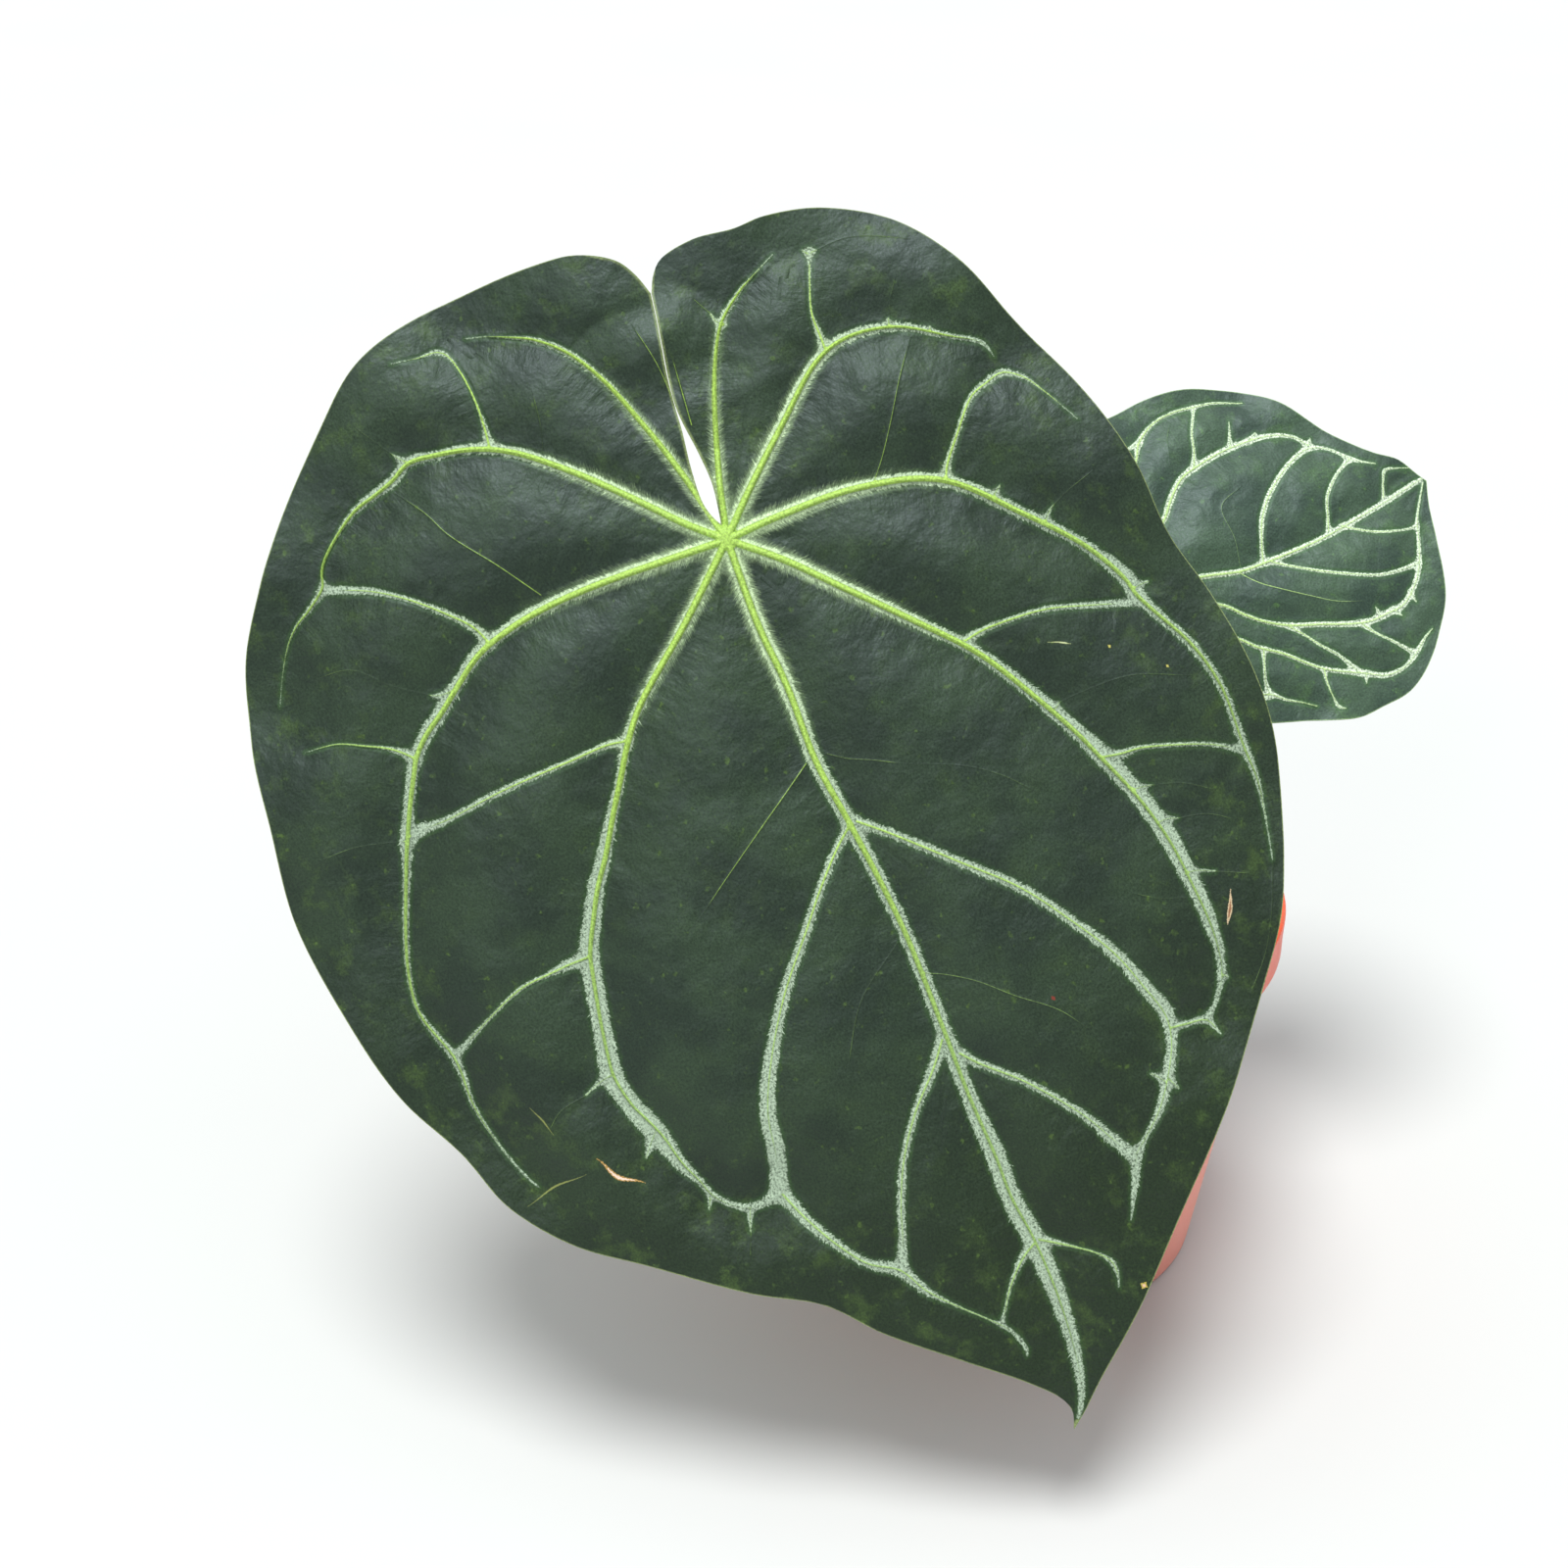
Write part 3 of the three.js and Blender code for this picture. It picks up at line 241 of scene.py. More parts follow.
LARGE_LEAF = {
    "attachment": [-107.3, -39.1, 292.37],
    "yaw": 0,
    "lean": 29.7,
    "roll": 21.1,
    "length": 296.5,
    "lobe_length": 101,
    "half_width": 165,
    "thickness": 1.1,
    "droop": {"side": 20, "tip": 20, "lobe": 9},
    "billow": {"height": 4.2, "reach": 15},
    "wave": {"height": 2.6, "length": 62, "reach": 24},
    "boss_radius": 6,
    "outline_step": 7,
    "inner_step": 2.6,
    "margin": {
        "right_inner": [
            [-5, 0], [-10, 0.9], [-18, 1.9], [-29, 1.3], [-38, 0.2], [-44, 0], [-53, 1.1], [-62, 2.8],
            [-70, 4.2], [-79, 5.6],
        ],
        "right_outer": [
            [-79, 5.6], [-84, 8], [-88, 12], [-90, 23], [-88.5, 36], [-89, 46], [-85.5, 64], [-75, 82.5],
            [-57, 96], [-33, 106.5], [-7, 118], [22, 125.5], [45, 128], [68, 134], [99, 138], [119, 137],
            [143, 130], [166, 120], [189, 105], [210, 88], [240, 60], [263, 37.5], [284.5, 14.5],
            [292, 7], [296.5, 1.5],
        ],
        "left_outer": [
            [296.5, 1.5], [291, 3], [286, 1.5], [276, -7], [262, -23], [245, -43], [230, -57], [219, -76],
            [201, -102], [186, -123], [168, -138], [148, -146], [126, -157], [96, -164], [62, -169],
            [30, -164], [4, -161], [-19, -154], [-39, -140], [-63, -121], [-79, -104], [-92, -87],
            [-99, -66], [-101, -44], [-100, -24], [-98, -12], [-92, -1], [-86, 3], [-79, 5.4],
        ],
        "left_inner": [
            [-79, 5.4], [-70, 4], [-62, 2.6], [-53, 0.9], [-43, -0.25], [-36, -0.8], [-24, -2.4],
            [-13, -2.8], [-8, -1.5], [-5, 0],
        ],
    },
    "primaries": {
        "core": [1.1, -0.2], "crest": 1.8, "width": [4.2, 1.4], "rise": 2.8,
        "lines": LARGE_RIBS,
    },
    "secondaries": {
        "core": [0.3, -0.3], "crest": 0.4, "width": [2, 1], "rise": 1.2,
        "lines": LARGE_BRANCHES,
    },
    "spurs": [
        [[-58.5, -83, 0.7], [-60.5, -85, 0.6], [-62.5, -86.5, 0.1]],
        [[12, -94, 1.2], [12, -99.5, 0.7], [11, -102, 0.1]],
        [[140, -92.5, 1.7], [141, -97, 0.7], [143, -102, 0.2]],
        [[161, -86, 2], [165.5, -90, 1.2], [168, -92, 0.2]], [[186.5, -78, 0.7], [190, -79.5, 0.2]],
        [[194, -67.5, 1], [198, -69, 0.5], [201, -70, 0.1]],
        [[-62, 23, 0.7], [-63.5, 21, 0.5], [-67, 20, 0.1]], [[-43.5, 70, 0.8], [-46, 70.5, 0.2]],
        [[-37.5, 81, 0.8], [-39, 81.5, 0.2]], [[17.5, 80, 1.1], [15, 82.5, 0.5], [14, 84, 0.1]],
        [[30, 93, 1.2], [27.5, 94.5, 0.6], [25.5, 97, 0.1]],
        [[58, 111.5, 1.2], [57.5, 114.5, 0.8], [57.5, 117, 0.2]],
        [[84.5, 73.5, 1], [83.5, 76, 0.5], [82.5, 77, 0.1]],
        [[115.5, 88.5, 1.2], [116, 92, 0.6], [116.5, 95, 0.1]],
        [[128, 93, 1.5], [128, 96, 0.7], [129, 99, 0.2]],
        [[146, 95, 1.5], [146, 98, 0.6], [148.5, 104, 0.2]],
        [[203, 66, 1.1], [200.5, 64, 0.7], [199, 62.5, 0.2]], [[203, 67.5, 1.1], [206.5, 69, 0.2]],
        [[179, 95, 0.9], [181, 96.5, 0.2]], [[-73.5, 54.5, 0.6], [-75, 53.5, 0.2]],
        [[-73.5, 56, 0.6], [-73.5, 57.5, 0.2]],
    ],
    "threads": [
        ([[72, -2], [78.5, -11.5], [85.5, -22], [98.5, -41], [105, -50]], 0.9, 0),
        ([[71.5, 5], [75, 10], [78.5, 17.5], [82.5, 25]], 0.6, 0.15),
        ([[82.5, 25], [90, 42.5], [97, 52.5], [105, 60]], 0.15, 0.05),
        ([[145, 9], [147.5, 14.5], [152.5, 22.5], [161, 32], [170, 43], [180.5, 50.5]], 0.7, 0.05),
        ([[-1, 48.5], [-6.5, 53], [-16, 59.5], [-27, 66.5], [-38, 74.5]], 0.8, 0.15),
        ([[-44, 0], [-56.5, -0.5], [-72, -3.5]], 0.9, 0.2),
        ([[-36.5, 2.5], [-47.5, 3.5], [-59, 4.5]], 0.9, 0.2),
        ([[-73.5, 56.5], [-74, 66.5], [-71.5, 75.5], [-66.5, 85.5]], 0.3, 0.3),
        ([[-45, 70.5], [-51, 73], [-57, 77]], 0.15, 0.05),
        ([[25.5, 97], [23, 102.5], [20, 112]], 0.4, 0.05),
        ([[133, 4.5], [145.5, -12.5], [164, -24]], 0.35, 0),
        ([[82.5, 77], [82, 83.5], [82.5, 100], [89.5, 119]], 0.25, 0.2),
        ([[11, -102], [4, -112], [-5, -122], [-7, -136]], 0.25, 0.05),
        ([[50, -126], [48, -132.5], [46, -142], [46, -154]], 0.3, 0.05),
        ([[116.5, 95], [119.5, 104.5], [125, 113]], 0.2, 0.05),
        ([[129, 99], [131, 108], [136, 116]], 0.35, 0.1), ([[148.5, 104], [153, 114]], 0.4, 0.1),
        ([[153, 93], [150, 85], [145, 77]], 0.3, 0.1),
        ([[-45, -43], [-53, -40.5], [-64, -39]], 0.35, 0.05), ([[-62.5, -86.5], [-74, -94]], 0.2, 0),
        ([[143, -102], [145, -111.5], [150, -117.5]], 0.4, 0), ([[-67, 20], [-73.5, 16.5]], 0.6, 0.1),
        ([[201, -70], [208.5, -73]], 0.4, 0),
        ([[-5, -59], [-18, -68], [-32, -78.5], [-41, -83], [-50.5, -89.5]], 0.9, 0.3),
        ([[152, 122.5], [167.5, 115.5], [178.5, 109.5], [190, 100]], 0.35, 0.1),
    ],
}

SMALL_RIBS = {
    "midrib": [
        [0, 0, 1.4], [22, -3, 1.2], [43, -5.5, 1], [56, -8, 1], [64.5, -8, 1], [88.5, -6.5, 1],
        [114, -2, 1], [126, 0.5, 1], [136.5, 3, 0.7], [139, 3.5, 0.2],
    ],
    "upper1": [
        [0, 0, 1.2], [18, 8, 1.1], [37, 18.5, 1], [43.5, 25.5, 1.2], [50.5, 31.5, 1.1], [57.5, 34, 1.2],
        [73.5, 37, 1.1], [90.5, 36.5, 0.9], [98.5, 33, 0.7], [102, 28.5, 1],
    ],
    "upper2": [
        [0, 0, 1.2], [16, 22, 1], [38, 43.5, 0.6], [42.5, 50, 1], [51, 55.5, 0.6], [60, 57, 0.6],
        [68, 56.5, 0.6], [76, 56, 0.5], [86.5, 52.5, 0.2],
    ],
    "upper3": [
        [0, 0, 1.1], [-6, 16, 0.9], [-8, 30, 0.8], [0, 42, 0.7], [14, 51, 0.3],
    ],
    "upper4": [
        [0, 0, 1], [-14, 8, 0.7], [-25, 18, 0.5], [-28, 30, 0.2],
    ],
    "lower1": [
        [0, 0, 1.3], [20, -8, 1.1], [44.5, -17.5, 0.7], [50.5, -23, 0.7], [57, -28, 0.7], [65, -32, 0.9],
        [75, -35, 0.9], [93.5, -40, 1.1], [102.5, -39.5, 1.2], [109.5, -38.5, 1.1], [115.5, -34.5, 0.9],
        [120.5, -29, 1], [125.5, -19, 0.7], [129, -10.5, 0.5], [137.5, 1.5, 0.2],
    ],
    "lower2": [
        [0, 0, 1.2], [22, -15, 1], [45.5, -31, 0.7], [50.5, -35.5, 0.7], [58.5, -40.5, 0.7],
        [71, -50.5, 0.7], [86, -57, 1], [93.5, -60, 0.9], [101, -59.5, 0.7], [107.5, -56, 0.9],
        [113, -52, 0.4], [117, -50, 0.1],
    ],
    "lower3": [
        [0, 0, 1.1], [6, -18, 0.9], [18, -36, 0.8], [34, -49, 0.8], [48.5, -52.5, 0.7], [53.5, -56, 0.5],
        [59, -59, 0.2], [63.5, -62, 0.1],
    ],
    "lower4": [
        [0, 0, 1], [-10, -14, 0.7], [-20, -26, 0.5], [-20, -38, 0.2],
    ],
}
SMALL_BRANCHES = {
    "midribUp": [
        [65.5, -7.5, 1], [67.5, -1, 0.7], [70.5, 6, 0.9], [76, 13, 0.9], [82.5, 18.5, 0.9],
        [90.5, 23.5, 0.9], [101.5, 27.5, 1], [107, 25.5, 0.6], [111, 21.5, 0.6], [113.5, 18.5, 0.9],
        [118, 15.5, 0.4], [122, 13.5, 0.2],
    ],
    "midribUpTip": [
        [94, -4.5, 0.9], [96, 1, 0.6], [98, 6.5, 0.6], [102.5, 11.5, 0.6], [108, 15.5, 0.6],
        [113, 18, 0.9],
    ],
    "midribDown": [
        [68, -8, 0.9], [74, -12, 0.6], [82.5, -17, 0.6], [93.5, -22, 0.6], [105, -26, 0.6],
        [115.5, -26.5, 0.7], [121.5, -26, 1],
    ],
    "midribDownTip": [
        [99.5, -4, 0.7], [105, -7.5, 0.5], [112, -11, 0.5], [122, -13, 0.4], [128, -13, 0.6],
    ],
    "upperSpur": [
        [57, 34, 1.1], [59.5, 39.5, 0.6], [61.5, 46, 0.5], [65.5, 52.5, 0.5], [68, 56.5, 0.7],
    ],
    "tipSpur": [
        [120, 1, 0.6], [122, 6, 0.4], [124.5, 10, 0.6], [130, 9.5, 0.2], [134.5, 8.5, 0.1],
    ],
    "lowerBridge": [
        [65, -32.5, 0.9], [68.5, -36.5, 0.5], [73, -42.5, 0.5], [79, -49, 0.6], [83.5, -55.5, 1],
    ],
    "lowerBridgeTip": [
        [91.5, -40, 1], [95, -45, 0.5], [100, -50, 0.5], [106, -55.5, 0.9],
    ],
    "lowerDrop": [
        [52.5, -37, 0.9], [50.5, -41.5, 0.5], [48.5, -47.5, 0.6], [48.5, -52.5, 1.1],
    ],
    "lowerDropTip": [
        [71, -51, 0.7], [70, -56, 0.4], [70, -60.5, 0.2], [70.5, -65, 0.6], [72.5, -66.5, 0.1],
    ],
}
SMALL_LEAF = {
    "attachment": [17.47, 47, 231.8],
    "yaw": 8,
    "lean": 44,
    "roll": 106.2,
    "length": 139.5,
    "lobe_length": 42,
    "half_width": 70,
    "thickness": 0.9,
    "droop": {"side": 7, "tip": 8, "lobe": 2},
    "billow": {"height": 2.2, "reach": 8},
    "wave": {"height": 1.5, "length": 36, "reach": 12},
    "boss_radius": 4.5,
    "outline_step": 5.5,
    "inner_step": 2,
    "margin": {
        "right_inner": [[-4, 0], [-9, 1.2], [-18, 1.2], [-27, 2.5], [-32, 5]],
        "right_outer": [
            [-32, 5], [-40, 14], [-41, 26], [-34, 38], [-21, 48], [-4, 55], [18, 60], [38, 63], [50, 65],
            [64, 64.5], [77, 61.5], [89, 56], [98, 48], [112, 29.5], [123, 18], [132, 12], [139.5, 2],
        ],
        "left_outer": [
            [139.5, 2], [135.5, -8], [132, -21], [125.5, -42.5], [112, -59.5], [100, -68], [88, -70],
            [75, -71], [56, -65], [38, -61], [18, -59], [-3, -55], [-22, -48], [-36, -36], [-42, -22],
            [-40, -9], [-33, -2],
        ],
        "left_inner": [[-33, -2], [-27, -0.6], [-18, -0.9], [-9, -1.2], [-4, 0]],
    },
    "primaries": {
        "core": [0.5, 0.1], "crest": 0.6, "width": [2.8, 1], "rise": 1.8,
        "lines": SMALL_RIBS,
    },
    "secondaries": {
        "core": [0.2, 0.08], "crest": 0.2, "width": [1.5, 0.8], "rise": 0.8,
        "lines": SMALL_BRANCHES,
    },
    "spurs": [
        [[86, -57, 0.7], [84.5, -60.5, 0.1]], [[73.5, 37, 0.9], [76, 43, 0.4], [77.5, 46.5, 0.1]],
        [[81, 37, 0.9], [85, 39.5, 0.1]], [[99.5, -39.5, 1], [99, -36, 0.1]],
        [[105.5, -39, 1], [107.5, -42, 0.1]], [[114.5, -35, 0.9], [115, -39, 0.1]],
        [[42.5, 50, 1], [38, 49, 0.6]], [[48.5, -52.5, 1], [45.5, -53.5, 0.4]],
        [[102, 28.5, 1], [104, 31, 0.1]],
    ],
    "threads": [
        ([[55.5, -8.5], [61, -15], [67, -19.5], [76, -25], [85.5, -30], [95.5, -33]], 1, 0.4),
        ([[56.5, -7.5], [58, 3.5], [58.5, 16], [69, 21]], 0.6, 0.3),
        ([[48.5, 37.5], [52.5, 48], [56.5, 53]], 0.3, 0.2),
    ],
}

# Numbers and lines


def rgb(red, green, blue):
    """A colour from its 0 to 255 values on a screen."""
    shares = [value / 255 for value in (red, green, blue)]
    return (*[v / 12.92 if v <= 0.04045 else ((v + 0.055) / 1.055) ** 2.4 for v in shares], 1)


def smooth(value, low, high):
    t = np.clip((value - low) / (high - low), 0, 1)
    return t * t * (3 - 2 * t)


def lumps(x, y, size, seed):
    """Smooth noise from -1 to 1 over a plane, with lumps of about that size."""
    across, down = np.floor(x / size), np.floor(y / size)
    u, v = x / size - across, y / size - down
    u, v = u * u * (3 - 2 * u), v * v * (3 - 2 * v)

    def corner(i, j):
        scrambled = np.sin((across + i) * 127.1 + (down + j) * 311.7 + seed * 74.7) * 43758.5453
        return 2 * (scrambled - np.floor(scrambled)) - 1

    near = corner(0, 0) * (1 - u) + corner(1, 0) * u
    far = corner(0, 1) * (1 - u) + corner(1, 1) * u
    return near * (1 - v) + far * v


def draw_from(seed):
    """The small repeatable random source that the solids use too."""
    state = seed
    while True:
        state = (state * 1664525 + 1013904223) % 4294967296
        yield state / 4294967296


def bearing(degrees, radius, z=0.0):
    angle = math.radians(degrees)
    return np.array((radius * math.cos(angle), radius * math.sin(angle), z))


def smooth_line(points, step):
    """Evenly spaced points, at most step apart, on a smooth curve through points."""
    p = np.asarray(points, float)
    p = np.vstack([2 * p[0] - p[1], p, 2 * p[-1] - p[-2]])
    dense = [p[1:2]]
    t = np.linspace(0, 1, 25)[1:, None]
    for p0, p1, p2, p3 in zip(p, p[1:], p[2:], p[3:]):
        d0, d1, d2 = (math.sqrt(np.linalg.norm(b - a)) for a, b in ((p0, p1), (p1, p2), (p2, p3)))
        leave = ((p1 - p0) / d0 - (p2 - p0) / (d0 + d1) + (p2 - p1) / d1) * d1
        enter = ((p2 - p1) / d1 - (p3 - p1) / (d1 + d2) + (p3 - p2) / d2) * d1
        start, end = 2 * t**3 - 3 * t**2 + 1, 3 * t**2 - 2 * t**3
        dense.append(start * p1 + (t**3 - 2 * t**2 + t) * leave + end * p2 + (t**3 - t**2) * enter)
    dense = np.vstack(dense)
    reach = np.concatenate([[0], np.cumsum(np.linalg.norm(np.diff(dense, axis=0), axis=1))])
    even = np.linspace(0, reach[-1], max(2, math.ceil(reach[-1] / step) + 1))
    return np.column_stack([np.interp(even, reach, column) for column in dense.T])


def nearest_on(line, points):
    """Each point's distance to a line, where on it that is from 0 to 1, and on which side."""
    found = []
    start, step = line[:-1], np.diff(line, axis=0)
    for some in np.array_split(points, max(1, len(points) // 6000)):
        off = some[:, None, :] - start
        share = np.clip((off * step).sum(2) / (step**2).sum(1), 0, 1)
        gap = off - share[..., None] * step
        far = np.hypot(gap[..., 0], gap[..., 1])
        row, k = np.arange(len(some)), far.argmin(1)
        side = np.sign(step[k, 0] * off[row, k, 1] - step[k, 1] * off[row, k, 0])
        found.append(np.column_stack([far[row, k], (k + share[row, k]) / len(step), side]))
    return np.vstack(found).T


# Meshes


class Heap:
    """Gathers closed shapes into one mesh. Each has a tone of its own, and lines of growth."""

    def __init__(self):
        self.points, self.faces, self.tones, self.growth, self.count = [], [], [], [], 0

    def add(self, points, faces, tone=0.5, growth=None):
        self.points.append(points)
        self.faces += [[corner + self.count for corner in face] for face in faces]
        self.tones.append(np.full(len(points), tone))
        self.growth.append(np.zeros((len(points), 3)) if growth is None else growth)
        self.count += len(points)

    def piece(self, name, material, slot, replaces=(), crease=50):
        points = np.vstack(self.points)
        made = new_piece(name, points, self.faces, material, replaces, crease)
        tone = made.data.attributes.new("tone", "FLOAT", "POINT")
        tone.data.foreach_set("value", np.concatenate(self.tones).astype(np.float32))
        put_vectors(made.data, "growth", np.vstack(self.growth))
        return made


def put_vectors(mesh, name, values):
    layer = mesh.attributes.new(name, "FLOAT_VECTOR", "POINT")
    layer.data.foreach_set("vector", np.asarray(values, np.float32).ravel())


def put(name, data):
    """An object of that data, put into the scene."""
    made = bpy.data.objects.new(name, data)
    bpy.context.scene.collection.objects.link(made)
    return made


def new_piece(name, points, faces, material, replaces=(), crease=50):
    """A smooth-shaded piece from points in millimetres, sharp where it folds by more than crease."""
    mesh = bpy.data.meshes.new(name)
    mesh.from_pydata((np.asarray(points) * MM).tolist(), [], faces)
    mesh.shade_smooth()
    mesh.set_sharp_from_angle(angle=math.radians(crease))
    mesh.materials.append(material)
    made = put(name, mesh)
    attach(made, "root")
    if replaces:
        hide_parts(*replaces)
    return made


def tube(points, step, sides, facing, radius, tone=0.5):
    """A closed tube along a smooth line, as Heap.add takes it. radius takes the share of the length
    and the angle."""
    line = smooth_line(points, step)
    along = np.gradient(line, axis=0)
    along /= np.linalg.norm(along, axis=1)[:, None]
    side = np.cross(along, facing)
    side /= np.linalg.norm(side, axis=1)[:, None]
    front = np.cross(side, along)
    t = np.linspace(0, 1, len(line))[:, None]
    angle = np.arange(sides)[None, :] * TURN / sides
    reach = radius(t, angle) * np.ones((len(line), sides))
    out = np.cos(angle)[..., None] * side[:, None] + np.sin(angle)[..., None] * front[:, None]
    rings = line[:, None] + reach[..., None] * out
    length = t * step * (len(line) - 1)
    growth = np.stack([length + 0 * reach, angle * reach, t + 0 * reach], axis=2)
    shape, faces, growth = rings_to_shape(rings, growth)
    return shape, faces, tone, growth


def rings_to_shape(rings, growth=None):
    """Joins rings of points and closes both ends round a middle point."""
    steps, sides = rings.shape[:2]
    points = np.vstack([rings.reshape(-1, 3), rings[0].mean(0), rings[-1].mean(0)])
    faces = []
    for k in range(steps - 1):
        for i in range(sides):
            a, b = k * sides + i, k * sides + (i + 1) % sides
            faces.append([a, b, b + sides, a + sides])
    first, last = steps * sides, steps * sides + 1
    top = (steps - 1) * sides
    for i in range(sides):
        j = (i + 1) % sides
        faces += [[j, i, first], [top + i, top + j, last]]
    if growth is not None:
        flat = growth.reshape(-1, 3)
        growth = np.vstack([flat, growth[0].mean(0), growth[-1].mean(0)])
    return points, faces, growth


def unit_ball(fineness):
    """Points and faces of a ball of radius 1, split finer with each step."""
    ball = bmesh.new()
    bmesh.ops.create_icosphere(ball, subdivisions=fineness, radius=1)
    points = np.array([v.co for v in ball.verts])
    faces = [[v.index for v in face.verts] for face in ball.faces]
    ball.free()
    return points, faces


BALLS = {fineness: unit_ball(fineness) for fineness in (2, 3)}


def turned(points, about_x, about_z):
    turn = Matrix.Rotation(about_z, 3, "Z") @ Matrix.Rotation(about_x, 3, "X")
    return points @ np.array(turn).T


def pebble(size, squash, rough, seed, fineness, about_x, about_z, at):
    """A rounded or angular lump: a ball pressed flat, dented by noise, turned and put in place."""
    ball, faces = BALLS[fineness]
    dents = lumps(ball[:, 0] * 3 + seed, ball[:, 1] * 3 - ball[:, 2] * 2.3, 1.0, seed)
    dents += 0.5 * lumps(ball[:, 2] * 5 - seed, ball[:, 0] * 4 + ball[:, 1] * 3, 1.0, seed + 3)
    points = ball * (1 + rough * dents)[:, None] * size * np.array(squash)
    return turned(points, about_x, about_z) + np.array(at), faces


# Shader trees


class Wire:
    """A value in a shader tree. Sums, products and the like of wires lay Math nodes."""

    def __init__(self, board, socket):
        self.board, self.socket = board, socket

    def __abs__(self):
        return self.board.math("ABSOLUTE", self)


def arithmetic(operation, first):
    """What a wire does before or after its operator."""
    def lay(wire, other):
        return wire.board.math(operation, *((wire, other) if first else (other, wire)))
    return lay


OPERATORS = {"add": "ADD", "sub": "SUBTRACT", "mul": "MULTIPLY", "truediv": "DIVIDE", "pow": "POWER"}
for sign, operation in OPERATORS.items():
    setattr(Wire, f"__{sign}__", arithmetic(operation, True))
    setattr(Wire, f"__r{sign}__", arithmetic(operation, False))


class Board:
    """Lays nodes in a shader tree and links them."""

    def __init__(self, tree):
        self.tree = tree

    def feed(self, socket, value):
        if isinstance(value, Wire):
            self.tree.links.new(value.socket, socket)
        else:
            socket.default_value = value

    def wires(self, sockets):
        return {socket.name: Wire(self, socket) for socket in sockets}

    def node(self, kind, inputs=None, output=0, **settings):
        """Lays a node and gives the wire out of one of its outputs."""
        made = self.tree.nodes.new("ShaderNode" + kind)
        for name, value in settings.items():
            setattr(made, name, value)
        for name, value in (inputs or {}).items():
            self.feed(made.inputs[name], value)
        return Wire(self, made.outputs[output])

    def math(self, operation, *values):
        return self.node("Math", dict(enumerate(values)), operation=operation)

    def vector(self, operation, first, second=None, scale=None):
        """A vector sum, product or measure of one or two vectors."""
        inputs = {0: first, 1: second, "Scale": scale}
        measured = operation in ("LENGTH", "DOT_PRODUCT")
        given = {name: value for name, value in inputs.items() if value is not None}
        return self.node("VectorMath", given, "Value" if measured else 0, operation=operation)

    def step(self, value, low, high, start=0.0, end=1.0):
        """Goes smoothly from start to end while value goes from low to high."""
        inputs = dict(enumerate((value, low, high, start, end)))
        return self.node("MapRange", inputs, interpolation_type="SMOOTHSTEP")

    def blend(self, share, first, second, kind="MIX"):
        inputs = {0: share, 6: first, 7: second}
        return self.node("Mix", inputs, 2, data_type="RGBA", blend_type=kind, clamp_factor=True)

    def toned(self, colour, tone):
        """A colour made lighter or darker by a tone round 1."""
        grey = self.node("CombineColor", {"Red": tone, "Green": tone, "Blue": tone})
        return self.blend(1.0, colour, grey, "MULTIPLY")

    def noise(self, place, detail=2.0, rough=0.5, scale=None):
        """Noise with lumps about 1 unit of place across, or 1 / scale units, from 0 to 1."""
        if scale:
            place = self.vector("SCALE", place, scale=scale)
        inputs = {"Vector": place, "Scale": 1.0, "Detail": detail, "Roughness": rough}
        return self.node("TexNoise", inputs)

    def stretched(self, place, x, y, z=1.0):
        """Place with each axis measured in its own unit."""
        return self.vector("DIVIDE", place, (x, y, z))

    def place(self):
        """Where a point of the piece is, in millimetres."""
        return self.vector("SCALE", self.node("TexCoord", output="Object"), scale=1 / MM)

    def mark(self, name, output="Vector"):
        return self.node("Attribute", None, output, attribute_name=name)

    def parts(self, vector):
        """The x, y and z of a vector."""
        made = self.node("SeparateXYZ", {"Vector": vector})
        return [Wire(self, socket) for socket in made.socket.node.outputs]

    def joined(self, x, y, z=0.0):
        return self.node("CombineXYZ", {"X": x, "Y": y, "Z": z})

    def placed(self, group, inputs):
        """Places a shared effect and gives the wires out of it by name."""
        made = self.tree.nodes.new("ShaderNodeGroup")
        made.node_tree = group
        for name, value in inputs.items():
            self.feed(made.inputs[name], value)
        return self.wires(made.outputs)


def effect(name, inputs, outputs):
    """An empty shared effect with named sockets: its board, its inputs, and its output sockets."""
    tree = bpy.data.node_groups.new(name, "ShaderNodeTree")
    for way, sockets in (("INPUT", inputs), ("OUTPUT", outputs)):
        for label, kind in sockets.items():
            tree.interface.new_socket(label, in_out=way, socket_type="NodeSocket" + kind)
    board = Board(tree)
    given = board.wires(tree.nodes.new("NodeGroupInput").outputs)
    return board, given, tree.nodes.new("NodeGroupOutput").inputs


def finish(name):
    """A new material: its board, and its Principled BSDF."""
    material = bpy.data.materials.new(name)
    material.use_nodes = True
    tree = material.node_tree
    tree.nodes.clear()
    skin = tree.nodes.new("ShaderNodeBsdfPrincipled")
    tree.links.new(skin.outputs[0], tree.nodes.new("ShaderNodeOutputMaterial").inputs["Surface"])
    return material, Board(tree), skin


def set_skin(board, skin, colour, height=None, depth=0.1, strength=1.0, **sockets):
    """Feeds a finish: colour, relief depth in millimetres, and other sockets by their names."""
    board.feed(skin.inputs["Base Color"], colour)
    if height is not None:
        inputs = {"Height": height, "Distance": depth * MM, "Strength": strength}
        board.feed(skin.inputs["Normal"], board.node("Bump", inputs))
    for socket, value in sockets.items():
        board.feed(skin.inputs[socket.replace("_", " ")], value)


# Shared effects


